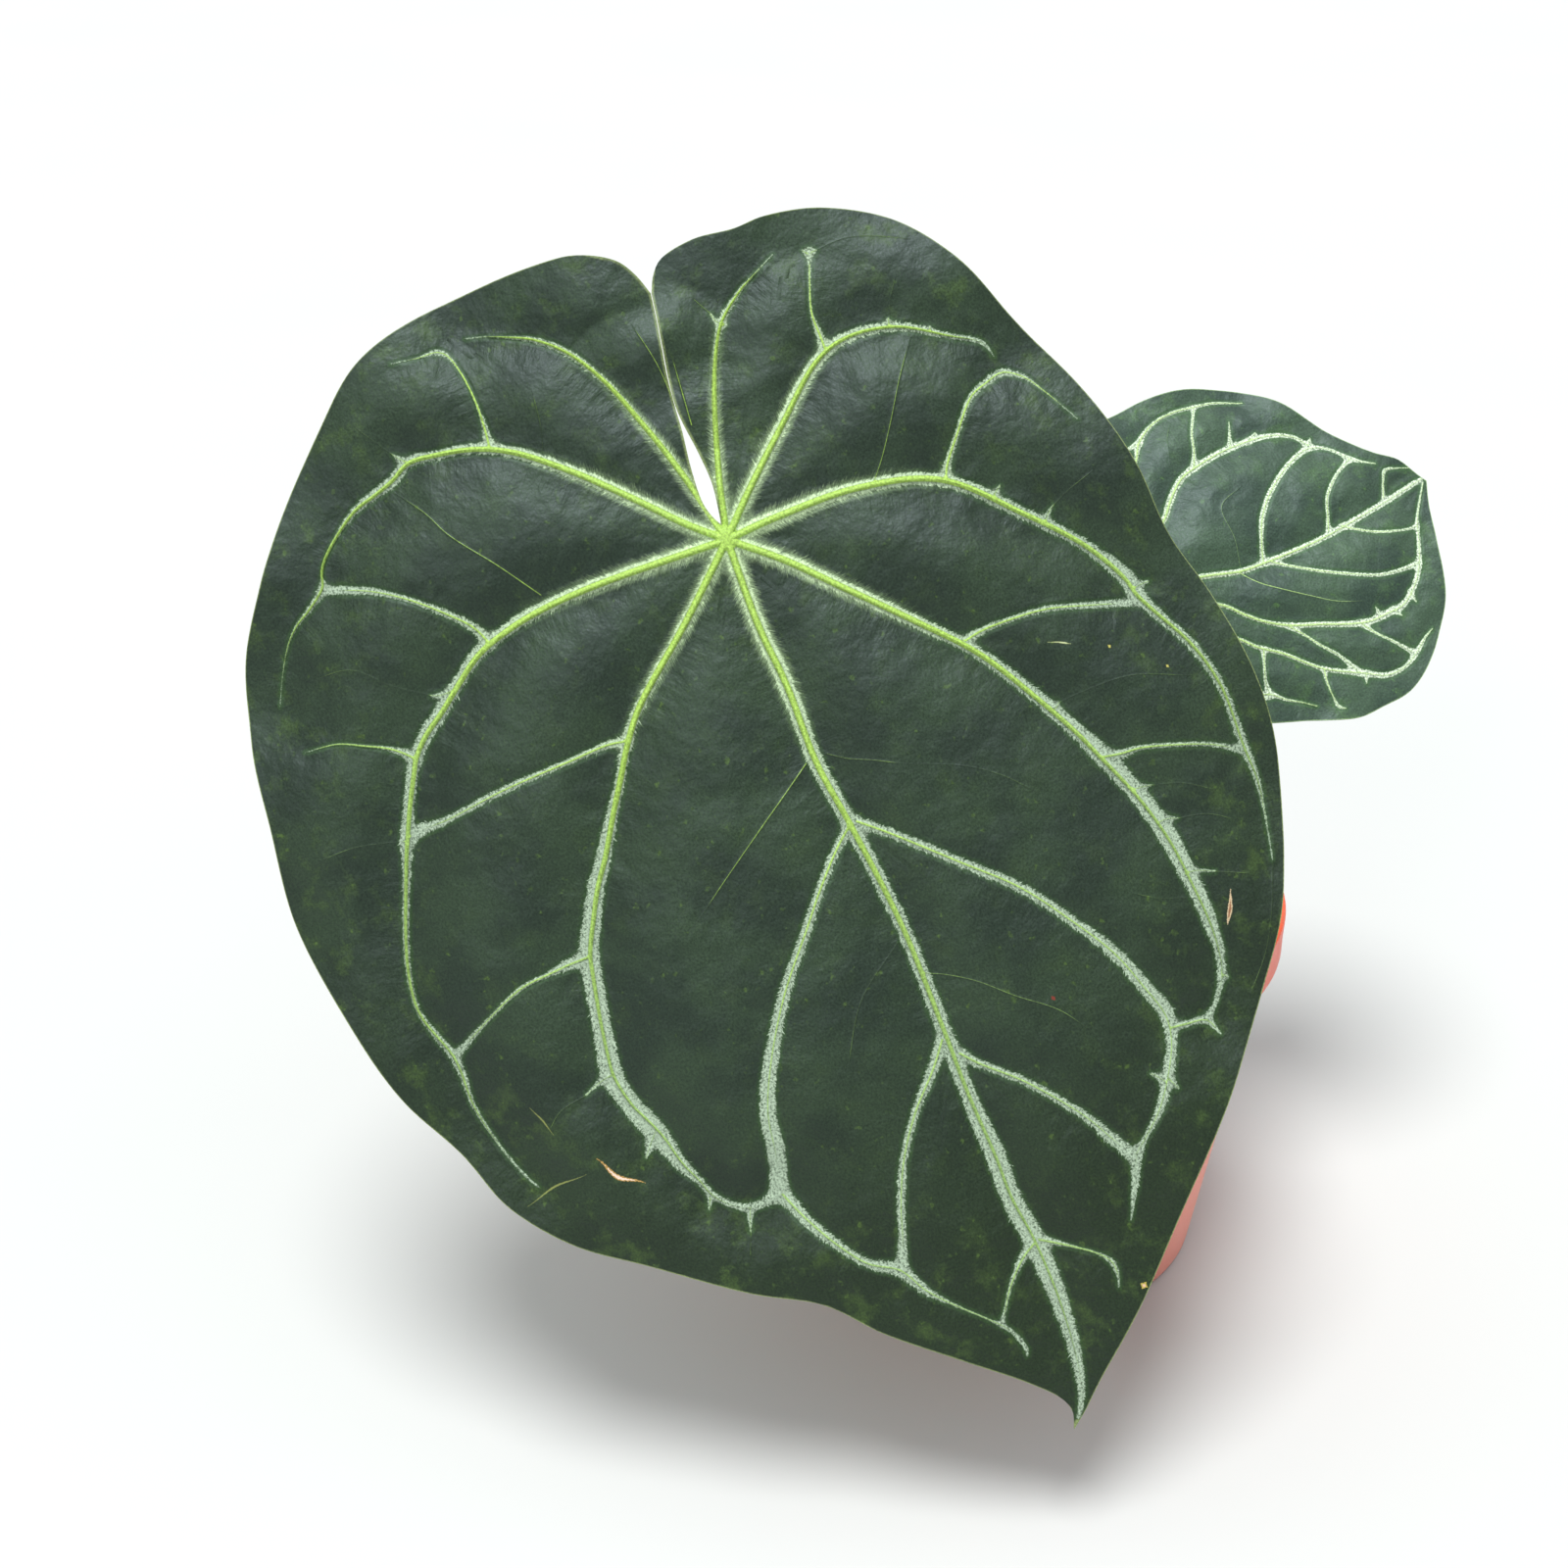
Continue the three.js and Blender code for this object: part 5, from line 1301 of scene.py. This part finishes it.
def core_along(vein, t):
    """Half the width of a vein's green thread: it narrows fastest past the middle."""
    root, end = vein["core"]
    widths = (root, 0.8 * root, 0.65 * root, 0.45 * root, 0.25 * root, end)
    return np.interp(t, (0, 0.3, 0.5, 0.65, 0.85, 1), widths)


def vein_marks(veins, points):
    """What the veins do at each point: depth in the silver and in the thread, the way along and out
    from the vein that rules there, the crest above, the rib below, and how alone that vein rules."""
    band, core = np.full(len(points), -FAR), np.full(len(points), -FAR)
    strongest, second = np.full((2, len(points)), -2 * FAR)
    along, side, crest, rib, inside_ends = (np.zeros(len(points)) for _ in range(5))
    for number, vein in enumerate(veins):
        line = vein["line"]
        inside = (points > line.min(0) - FAR) & (points < line.max(0) + FAR)
        near = np.flatnonzero(inside.all(1))
        gap, t, sign = nearest_on(line, points[near])
        station = t * (len(line) - 1)
        left, right = (np.interp(station, np.arange(len(line)), reach) for reach in vein["reach"].T)
        half = np.where(sign > 0, left, np.where(sign < 0, right, np.maximum(left, right)))
        value = np.maximum(half - gap, -FAR)
        thread = core_along(vein, t)
        core[near] = np.maximum(core[near], thread - gap)
        if "bare" not in vein:
            band[near] = FILLET * np.logaddexp(band[near] / FILLET, value / FILLET)
            rules = value > strongest[near]
            ruled = near[rules]
            second[near] = np.maximum(second[near], np.minimum(value, strongest[near]))
            strongest[ruled] = value[rules]
            length = np.linalg.norm(np.diff(line, axis=0), axis=1).sum()
            inside_ends[ruled] = smooth(np.minimum(t, 1 - t)[rules] * length, 0, 6)
            along[ruled] = t[rules] * length + VEIN_SHIFT * number
            side[ruled] = gap[rules] * sign[rules]
        top = vein["crest"] * (1 - RIB_FADE * t) * np.exp(-((gap / (np.maximum(thread, 0) + RIDGE)) ** 2))
        crest[near] = np.maximum(crest[near], top)
        foot = np.interp(t, (0, 1), vein["width"]) * RIB_FOOT
        dome = vein["rise"] * (1 - RIB_FADE * t) * np.sqrt(np.clip(1 - (gap / foot) ** 2, 0, 1))
        rib[near] = np.maximum(rib[near], dome)
    alone = smooth(strongest - second, 0, 4) * inside_ends
    return band, core, along, side, crest, rib, alone


def tree_of(points):
    """Finds the nearest of some flat points."""
    tree = KDTree(len(points))
    for number, point in enumerate(points):
        tree.insert((*point, 0), number)
    tree.balance()
    return tree


def blade_points(leaf, veins, outline, step):
    """Points inside the margin: rows that follow each main vein, and an even lattice between."""
    rows, lines = [], []
    for vein in veins:
        line = vein["line"]
        ahead = np.gradient(line, axis=0)
        out = np.column_stack([-ahead[:, 1], ahead[:, 0]]) / np.linalg.norm(ahead, axis=1)[:, None]
        thread = core_along(vein, np.linspace(0, 1, len(line)))[:, None]
        if vein["crest"] >= RIDGED_CREST:
            for offset in RIDGE_ROWS:
                away = out * (np.maximum(thread, 0) + RIDGE) * offset
                rows += [line + away, line - away]
        lines.append(line)
    fixed = np.vstack([outline, *lines])
    tree = tree_of(fixed)
    followers = [p for p in np.vstack(rows) if tree.find((*p, 0))[2] > ROW_ROOM * step]
    spread = tree_of([*fixed, *followers])
    low, high = outline.min(0), outline.max(0)
    row_height = step * math.sqrt(0.75)
    lattice = []
    for row in range(int((high[0] - low[0]) / row_height) + 1):
        x = low[0] + row * row_height
        for y in np.arange(low[1] + (row % 2) * step / 2, high[1], step):
            if spread.find((x, y, 0))[2] > LATTICE_ROOM * step:
                lattice.append((x, y))
    return lines, np.array(followers), np.array(lattice)


def flat_triangles(leaf, veins, step):
    """The blade's flat triangulation, cut along its margin and its veins."""
    outline = outline_of(leaf, step, step * 0.75)
    lines, followers, lattice = blade_points(leaf, veins, outline, step)
    points = [outline, *lines, followers, lattice]
    edges, first = [], len(outline)
    for line in lines:
        edges += [(first + i, first + i + 1) for i in range(len(line) - 1)]
        first += len(line)
    flat = [Vector(p) for p in np.vstack(points)]
    made = delaunay_2d_cdt(flat, edges, [list(range(len(outline)))], 1, 1e-4)
    used, triangles = np.unique(np.array(made[2]), return_inverse=True)
    return np.array(made[0])[used], triangles.reshape(-1, 3)


def blade(name, leaf, step, material, node):
    """One blade as a thin closed solid, thinner towards its margin, with its marks for the finish."""
    veins = veins_of(leaf, step)
    flat, triangles = flat_triangles(leaf, veins, step)
    x, y = flat.T
    height, to_edge = blade_height(leaf, flat)
    band, core, along, side, crest, rib, alone = vein_marks(veins, flat)
    calm = smooth(to_edge, 0, 12) * smooth(-core, 0.5, 5)
    folds = COARSE_FOLDS[0] * lumps(x + 0.4 * y, y - 0.3 * x, *COARSE_FOLDS[1:])
    folds += FINE_FOLDS[0] * lumps(x, y, *FINE_FOLDS[1:])
    combed = lumps(along, 0.3 * side, *COMBED_FOLDS[1:]) * alone
    combed *= smooth(-band, 0.3, 2) * smooth(band, -13, -5)
    pillow = PILLOW[0] * (1 - np.exp(-((np.maximum(-band, 0) / PILLOW[1]) ** 2)))
    top = height + (folds + COMBED_FOLDS[0] * combed) * calm + pillow * smooth(to_edge, 0, 16)
    thickness = leaf["thickness"] * (EDGE_THICKNESS + (1 - EDGE_THICKNESS) * smooth(to_edge, 0, 5))
    rise = leaf["primaries"]["rise"]
    boss = rise * (1 - smooth(np.hypot(x - BOSS_CENTRE, y), 0.35, 1.2 * leaf["boss_radius"]))
    bottom = top - thickness - np.maximum(rib, boss) * smooth(to_edge, 0, 2.5)
    top = top + crest * smooth(to_edge, 0, 2)
    count = len(flat)
    solid = np.vstack([np.column_stack([flat, top]), np.column_stack([flat, bottom])])
    ways = {(int(a), int(b)) for t in triangles for a, b in zip(t, np.roll(t, -1))}
    walls = [[b, a, a + count, b + count] for a, b in sorted(ways) if (b, a) not in ways]
    faces = [*triangles.tolist(), *(triangles[:, ::-1] + count).tolist(), *walls]
    axes, origin = leaf_frame(leaf)
    made = new_piece(name, solid @ axes + origin, faces, material, [node], crease=60)
    mesh = made.data
    put_vectors(mesh, "leaf_place", np.tile(np.column_stack([flat, 0 * x]), (2, 1)))
    put_vectors(mesh, "leaf_vein", np.tile(np.column_stack([along, side, band]), (2, 1)))
    put_vectors(mesh, "leaf_comb", np.tile(np.column_stack([alone, 0 * x, 0 * x]), (2, 1)))
    above = np.column_stack([core, to_edge, 0 * x])
    below = np.column_stack([core, to_edge, 0 * x + 1])
    put_vectors(mesh, "leaf_rib", np.vstack([above, below]))
    return made


# Stalks


def stalk(name, shape, leaf, material, node):
    """A four-edged stalk, thicker at its foot, with a rounder swollen knee below the blade."""
    axes, origin = leaf_frame(leaf)
    seat = -(leaf["thickness"] + leaf["primaries"]["rise"])
    end = [np.array((STALK_SEAT, 0, seat - depth)) @ axes + origin for depth in (shape["radius"], 0.15)]
    points = [*shape["points"], *end]
    line = smooth_line(points, 2.0)
    length = np.linalg.norm(np.diff(line, axis=0), axis=1).sum()
    knee_start = length - shape["knee_length"]

    def radius(t, angle):
        foot = 1 - smooth(t * length, 0, 30)
        knee = smooth(t * length, knee_start, knee_start + 0.6 * shape["knee_length"])
        plain = shape["radius"] + (shape["base"] - shape["radius"]) * foot
        body = plain + (shape["knee"] - plain) * knee
        edges = 2 * ((1 + np.cos(4 * angle)) / 2) ** 1.5 - 1
        wrinkles = 0.02 * knee * np.sin(t * length * 2.4 + np.sin(2 * angle))
        return body * (1 + WING * (1 - knee) * edges + wrinkles)

    heap = Heap()
    heap.add(*tube(points, 1.6, 40, STALK_FACING, radius))
    return heap.piece(name, material, "petiole", [node])


# Crown, roots and dry sheaths


def crown_line():
    x, y = CROWN
    middle = (CROWN_BOTTOM + CROWN_TOP) / 2
    return [(x, y, CROWN_BOTTOM), (x + 1, y - 1, middle), (x, y, CROWN_TOP)]


def crown(material):
    height = CROWN_TOP - CROWN_BOTTOM

    def radius(t, angle):
        turn = t * height * TURN / SCAR_SPACING + np.sin(angle)
        ledge = 0.9 * np.cos(turn) - 0.35 * smooth(np.cos(turn), 0.75, 1.0)
        knobs = 0.45 * lumps(angle * 3.2, t * height / 2.2, 1.0, 4)
        domed = np.sqrt(1 - 0.85 * smooth(t, 0.8, 1) ** 2)
        return (CROWN_RADIUS + ledge + knobs + 0.5 * np.cos(3 * angle)) * domed

    heap = Heap()
    heap.add(*tube(crown_line(), 0.6, 96, (0, 1, 0), radius))
    return heap.piece("crown_stem", material, "crown", ["crown"])


def aerial_roots(material):
    heap = Heap()
    for i, way in enumerate(ROOT_BEARINGS):
        start = ROOT_START + ROOT_STEP * (i % 3)
        reach = ROOT_REACH[0] + (ROOT_REACH[1] - ROOT_REACH[0]) * ((2 * i) % 3) / 2
        centre = np.array((*CROWN, 0))
        points = [
            bearing(way, CROWN_RADIUS / 2, start - 1) + centre,
            bearing(way, CROWN_RADIUS + 2, start + 1) + centre,
            bearing(way + 4, reach - 1, MIX_LEVEL + 2 * ROOT_RADIUS) + centre,
            bearing(way + 5, reach + 2, MIX_LEVEL - 3 * ROOT_RADIUS) + centre,
        ]

        def radius(t, angle, seed=i):
            bumps = 1 + 0.07 * lumps(angle * 2, t * 14, 1.0, seed)
            return ROOT_RADIUS * (1 - 0.25 * t) * bumps

        heap.add(*tube(points, 0.7, 24, bearing(way + 90, 1), radius))
    return heap.piece("aerial_roots", material, "crown")


def sheath_surface(way, height, t, u, offset):
    """A point of a dry sheath: t up it, u across it from -1 to 1, offset out of its inner face."""
    flare = SHEATH_FLARE * (1 - np.exp(-height * t / SHEATH_FLARE))
    out = CROWN_RADIUS - 0.9 + flare + SHEATH_LEAN * height * t * t
    half = SHEATH_HALF_ANGLE * (1 - 0.95 * t**1.6) * CROWN_RADIUS / out
    half = half * (1 + 0.12 * lumps(t * 16 + 5 * np.sign(u), 0 * t, 1.0, height))
    turn = math.radians(way) + half * u
    pleats = 0.22 * np.sin(u * 17 + 3 * t) * (1 - 0.6 * t)
    curl = 0.9 * t * np.abs(u) ** 3
    reach = out + offset + pleats + curl
    return np.stack([CROWN[0] + reach * np.cos(turn), CROWN[1] + reach * np.sin(turn),
                     SHEATH_FOOT + height * t + 0 * u], axis=-1)


def sheath(node, way, height, material):
    rows, across = 70, 26
    t = (np.linspace(0, 1, rows) ** 1.2)[:, None]
    u = np.linspace(-1, 1, across)[None, :]
    outer = sheath_surface(way, height, t + 0 * u, u + 0 * t, 0.6)
    inner = sheath_surface(way, height, t + 0 * u, u + 0 * t, 0.15)
    rings = np.concatenate([outer, inner[:, ::-1]], axis=1)
    wide = np.concatenate([u, u[:, ::-1]], axis=1) * CROWN_RADIUS * SHEATH_HALF_ANGLE
    growth = np.stack([t * height + 0 * wide, wide + 0 * t, t + 0 * wide], axis=2)
    heap = Heap()
    shape, faces, growth = rings_to_shape(rings, growth)
    heap.add(shape, faces, 0.5, growth)
    draw = draw_from(int(height))
    for _ in range(SHEATH_THREADS):
        start, edge = 0.35 + 0.5 * next(draw), 2 * next(draw) - 1
        steps = np.linspace(start, min(start + 0.3 + 0.2 * next(draw), 1.04), 6)
        line = [sheath_surface(way, height, s, edge, 0.7 + 2.2 * (s - start) * abs(edge)) for s in steps]
        heap.add(*tube(line, 1.2, 5, bearing(way, 1), lambda t, a: 0.16 * (1 - 0.6 * t) + 0 * a))
    return heap.piece(node + "_sheath", material, "dry_sheath", [node])


# Potting mix


def inner_radius(z):
    wall_top = POT_HEIGHT - COLLAR_HEIGHT
    slope = (POT_TOP_RADIUS - COLLAR_STEP - POT_BASE_RADIUS) / wall_top
    return POT_BASE_RADIUS + slope * z - POT_WALL


def mix_surface(x, y):
    swell = 1.1 * np.sin(x / 11 + 1) * np.cos(y / 13) + 0.9 * np.sin((x + 2 * y) / 17)
    return MIX_LEVEL + swell + 0.7 * np.sin(x / 3.1 + 0.6 * y) * np.sin(y / 3.7 - 0.4 * x)


def fine_mix(material):
    """The body of the mix, with a crumbly top."""
    sides, rings = 220, 70
    top_radius = inner_radius(MIX_LEVEL) - MIX_CLEARANCE
    angle = np.arange(sides) * TURN / sides
    lowest = POT_FLOOR + 0.3
    bottom = inner_radius(lowest) - MIX_CLEARANCE
    layers = [np.stack([bottom * np.cos(angle), bottom * np.sin(angle), lowest + 0 * angle], axis=1)]
    for k in range(rings + 1):
        radius = top_radius * (1 - k / (rings + 0.5))
        x, y = radius * np.cos(angle), radius * np.sin(angle)
        crumbs = 0.8 * lumps(x, y, 2.3, 1) + 0.45 * lumps(x, y, 1.1, 2)
        drop = MIX_EDGE_DROP * (1 - smooth(top_radius - radius, 0, 5))
        layers.append(np.stack([x, y, mix_surface(x, y) - 0.8 + crumbs - drop], axis=1))
    heap = Heap()
    points, faces, _ = rings_to_shape(np.array(layers))
    heap.add(points, faces)
    return heap.piece("fine_mix", material, "mix", ["potting_mix"])


def on_mix(draw, low, high):
    """A random place on the mix, between two distances from the pot's axis and off the crown."""
    while True:
        radius = low + (high - low) * math.sqrt(next(draw))
        at = bearing(360 * next(draw), radius)
        if math.hypot(at[0] - CROWN[0], at[1] - CROWN[1]) > CROWN_RADIUS + 3:
            return at[0], at[1], float(mix_surface(at[0], at[1]))


def bark_chips(material):
    heap = Heap()
    top_radius = inner_radius(MIX_LEVEL) - MIX_CLEARANCE
    draw = draw_from(SEEDS["chunks"])
    for i in range(CHUNKS):  # the large chips that the solid has too
        size = CHUNK_SIZE[0] + (CHUNK_SIZE[1] - CHUNK_SIZE[0]) * next(draw)
        radius = CHUNK_BAND[0] + (top_radius - CHUNK_BAND[1] - CHUNK_BAND[0]) * math.sqrt(next(draw))
        x, y, _ = bearing(360 * next(draw), radius)
        squash = (1, 0.6 + 0.3 * next(draw), 0.45 + 0.2 * next(draw))
        about_x, about_z = 0.5 * (next(draw) - 0.5), TURN * next(draw)
        at = (x, y, float(mix_surface(x, y)) + 0.15 * size)
        heap.add(*pebble(size, squash, 0.2, i + 0.5, 3, about_x, about_z, at), tone=next(draw))
    draw = draw_from(SEEDS["small chips"])
    for i in range(SMALL_CHIPS):
        size = 1.0 + 3.2 * next(draw) ** 2
        x, y, z = on_mix(draw, 6, top_radius - size - 0.5)
        squash = (1, 0.45 + 0.4 * next(draw), 0.25 + 0.3 * next(draw))
        tilt, spin = 1.1 * (next(draw) - 0.5), TURN * next(draw)
        at = (x, y, z - 0.2 + 0.25 * size)
        heap.add(*pebble(size, squash, 0.25, i * 1.7, 2, tilt, spin, at), tone=next(draw))
    return heap.piece("bark_chips", material, "mix", crease=35)


def perlite(material):
    heap = Heap()
    draw = draw_from(SEEDS["perlite"])
    for i in range(PERLITE_GRAINS):
        size = 0.7 + 1.5 * next(draw) ** 2
        x, y, z = on_mix(draw, 6, inner_radius(MIX_LEVEL) - 3)
        squash = (1, 0.75 + 0.25 * next(draw), 0.7 + 0.3 * next(draw))
        at = (x, y, z + 0.35 * size)
        shape = pebble(size, squash, 0.16, i * 2.3, 2, TURN * next(draw), TURN * next(draw), at)
        heap.add(*shape, tone=next(draw))
    return heap.piece("perlite_grains", material, "mix")


def coir(material):
    heap = Heap()
    draw = draw_from(SEEDS["coir"])
    for _ in range(COIR_FIBRES):
        x, y, z = on_mix(draw, 10, inner_radius(MIX_LEVEL) - 12)
        heading, bend, length = TURN * next(draw), 1.6 * (next(draw) - 0.5), 8 + 18 * next(draw)
        points = []
        for s in np.linspace(-0.5, 0.5, 6):
            turn = heading + bend * s * 2
            px, py = x + s * length * math.cos(turn), y + s * length * math.sin(turn)
            lift = 0.9 + 1.3 * next(draw) * (0.5 - abs(s))
            points.append((px, py, float(mix_surface(px, py)) + lift))
        if max(math.hypot(p[0], p[1]) for p in points) > inner_radius(MIX_LEVEL) - 2:
            continue
        thick = 0.13 + 0.14 * next(draw)
        heap.add(*tube(points, 1.6, 5, (0, 0, 1), lambda t, a: thick * (1 - 0.4 * t) + 0 * a,
                             tone=next(draw)))
    return heap.piece("coir_fibres", material, "mix")


def moss(material):
    heap = Heap()
    draw = draw_from(SEEDS["moss"])
    spike = np.array([(1, 0, 0), (-0.5, 0.87, 0), (-0.5, -0.87, 0), (0, 0, 1)])
    faces = [[0, 2, 1], [0, 1, 3], [1, 2, 3], [2, 0, 3]]
    for _ in range(MOSS_TUFTS):
        x, y, z = on_mix(draw, 12, inner_radius(MIX_LEVEL) - 5)
        tuft = 2 + 3.5 * next(draw)
        for _ in range(int(20 + 22 * next(draw))):
            off = bearing(360 * next(draw), tuft * math.sqrt(next(draw)))
            width, height = 0.2 + 0.14 * next(draw), 1.3 + 2.0 * next(draw)
            points = turned(spike * (width, width, height), 0.9 * (next(draw) - 0.5), TURN * next(draw))
            ground = float(mix_surface(x + off[0], y + off[1])) - 0.3
            heap.add(points + (x + off[0], y + off[1], ground), faces, tone=next(draw))
    return heap.piece("moss_tufts", material, "mix", crease=80)


# Pot

POT_SIDES = 168


def rounded(radius, z, rounding, start, end, steps=5):
    """A rounded corner of the pot's section, between two angles in degrees."""
    angles = [math.radians(start + (end - start) * i / steps) for i in range(steps + 1)]
    return [(radius + rounding * math.cos(a), z + rounding * math.sin(a)) for a in angles]


def pot_section():
    """Half the pot's section, from the middle of its underside round to the middle of its floor."""
    wall_top, lip = POT_HEIGHT - COLLAR_HEIGHT, LIP_ROUNDING
    wall_top_radius = POT_TOP_RADIUS - COLLAR_STEP
    base = inner_radius(BASE_ROUNDING) + POT_WALL - BASE_ROUNDING
    section = [(0.01, 1.0), (base - 9, 1.0), (base - 8, 0.0)]
    section += rounded(base, BASE_ROUNDING, BASE_ROUNDING, -90, 0)
    for z in np.linspace(BASE_ROUNDING + 4, wall_top - 1.2, 24):
        section.append((inner_radius(z) + POT_WALL, z))
    section += [(wall_top_radius + 0.4, wall_top - 0.3), (wall_top_radius + 1.2, wall_top)]
    section += rounded(POT_TOP_RADIUS - lip, wall_top + lip, lip, -90, 0)
    section += [(POT_TOP_RADIUS - 0.15, POT_HEIGHT - COLLAR_HEIGHT / 2)]
    section += rounded(POT_TOP_RADIUS - lip, POT_HEIGHT - lip, lip, 0, 90)
    section += rounded(inner_radius(POT_HEIGHT) + lip, POT_HEIGHT - lip, lip, 90, 180)
    for z in np.linspace(POT_HEIGHT - 6, POT_FLOOR + 6, 16):
        section.append((inner_radius(z), z))
    section += rounded(inner_radius(POT_FLOOR + 3) - 3, POT_FLOOR + 3, 3, 0, -90)
    return section + [(0.01, POT_FLOOR)]


def drill_holes(piece):
    """Cuts the drainage holes through the floor."""
    heap = Heap()
    for i in range(DRAIN_HOLES):
        x, y, _ = bearing(i * 360 / DRAIN_HOLES, DRAIN_CIRCLE)
        line = [(x, y, -POT_FLOOR), (x, y, 2 * POT_FLOOR)]
        heap.add(*tube(line, POT_FLOOR, 40, (1, 0, 0), lambda t, a: DRAIN_RADIUS + 0 * t * a))
    cutter = heap.piece("drill", piece.data.materials[0], "pot")
    cut = piece.modifiers.new("holes", "BOOLEAN")
    cut.object, cut.operation, cut.solver = cutter, "DIFFERENCE", "EXACT"
    depsgraph = bpy.context.evaluated_depsgraph_get()
    mesh = bpy.data.meshes.new_from_object(piece.evaluated_get(depsgraph))
    piece.modifiers.remove(cut)
    piece.data = mesh
    bpy.data.objects.remove(cutter)
    mesh.shade_smooth()
    mesh.set_sharp_from_angle(angle=math.radians(40))


def pot(material):
    section = np.array(pot_section())
    angle = np.arange(POT_SIDES) * TURN / POT_SIDES
    rings = np.stack([section[:, :1] * np.cos(angle), section[:, :1] * np.sin(angle),
                      section[:, 1:] + 0 * angle], axis=2)
    points, faces, growth = rings_to_shape(rings)
    piece = new_piece("pot_shell", points, faces, material, ["pot"], crease=40)
    drill_holes(piece)
    return piece


# Stage

WINDOWS = {  # the way towards it, its power, and how wide it looks in degrees
    "sky window": ((-0.1, -0.16, 0.98), 3.05, 25),  # above, and a little in front
    "side window": ((-0.4, -0.75, 0.55), 0.4, 14),  # in front and to the left, half way up
}
WINDOW_COLOUR = (0.98, 1, 0.98)
ROOM_COLOUR = (0.93, 0.98, 1, 1)
ROOM_LIGHT = (0.14, 0.95)  # level with the eye, and overhead
BACKDROP_LIGHT = 0.9
FLOOR_REACH = 20  # metres
CAMERA_AT = (-0.090, -0.671, 0.5674)  # metres
VIEW_DOWN = 29.7
LENS, SENSOR = 51.75, 36


def floor():
    material, board, skin = finish("Pale floor")
    tone = board.noise(board.place(), scale=1 / 300)
    colour = board.blend(tone, rgb(203, 203, 202), rgb(199, 199, 199))
    set_skin(board, skin, colour, Roughness=0.9, Specular_IOR_Level=0.1)
    mesh = bpy.data.meshes.new("floor")
    corners = [(x * FLOOR_REACH, y * FLOOR_REACH, 0) for x, y in ((-1, -1), (1, -1), (1, 1), (-1, 1))]
    mesh.from_pydata(corners, [], [[0, 1, 2, 3]])
    mesh.materials.append(material)
    put("floor", mesh)


def camera():
    """Looks along +Y and down on the plant, as the photograph does."""
    data = bpy.data.cameras.new("camera")
    data.sensor_width, data.lens = SENSOR, LENS
    made = put("camera", data)
    made.location = CAMERA_AT
    made.rotation_euler = (math.radians(90 - VIEW_DOWN), 0, 0)
    bpy.context.scene.camera = made


def room():
    """Soft light from all round, strongest overhead, and an even pale backdrop."""
    world = bpy.data.worlds.new("room")
    bpy.context.scene.world = world
    world.use_nodes = True
    board = Board(world.node_tree)
    sky = world.node_tree.nodes["Background"]
    sky.inputs["Color"].default_value = ROOM_COLOUR
    up = board.parts(board.node("TexCoord", output="Generated"))[2]
    seen = board.node("LightPath", output="Is Camera Ray")
    light = board.math("MAXIMUM", board.step(up, 0.0, 0.85, *ROOM_LIGHT), seen * BACKDROP_LIGHT)
    board.feed(sky.inputs["Strength"], light)


def stage():
    floor()
    for name, (source, power, spread) in WINDOWS.items():
        lamp = bpy.data.lights.new(name, "SUN")
        lamp.energy, lamp.angle, lamp.color = power, math.radians(spread), WINDOW_COLOUR
        made = put(name, lamp)
        made.rotation_euler = Vector(source).to_track_quat("Z", "Y").to_euler()
    room()
    settings = bpy.context.scene.view_settings
    settings.view_transform, settings.look, settings.exposure = "Standard", "None", 0
    camera()


# The whole plant

blade("large_leaf", LARGE_LEAF, LATTICE["large"], large_blade_finish(), "large_blade")
blade("small_leaf", SMALL_LEAF, LATTICE["small"], small_blade_finish(), "small_blade")
stalk_skin = stalk_finish()
stalk("large_stalk", STALKS["large"], LARGE_LEAF, stalk_skin, "large_petiole")
stalk("small_stalk", STALKS["small"], SMALL_LEAF, stalk_skin, "small_petiole")
crown(crown_finish())
aerial_roots(root_finish())
sheath_paper = sheath_finish()
for node, (way, height) in SHEATHS.items():
    sheath(node, way, height, sheath_paper)
fine_mix(soil_finish())
bark_chips(bark_finish())
perlite(perlite_finish())
coir(coir_finish())
moss(moss_finish())
pot(pot_finish())
stage()
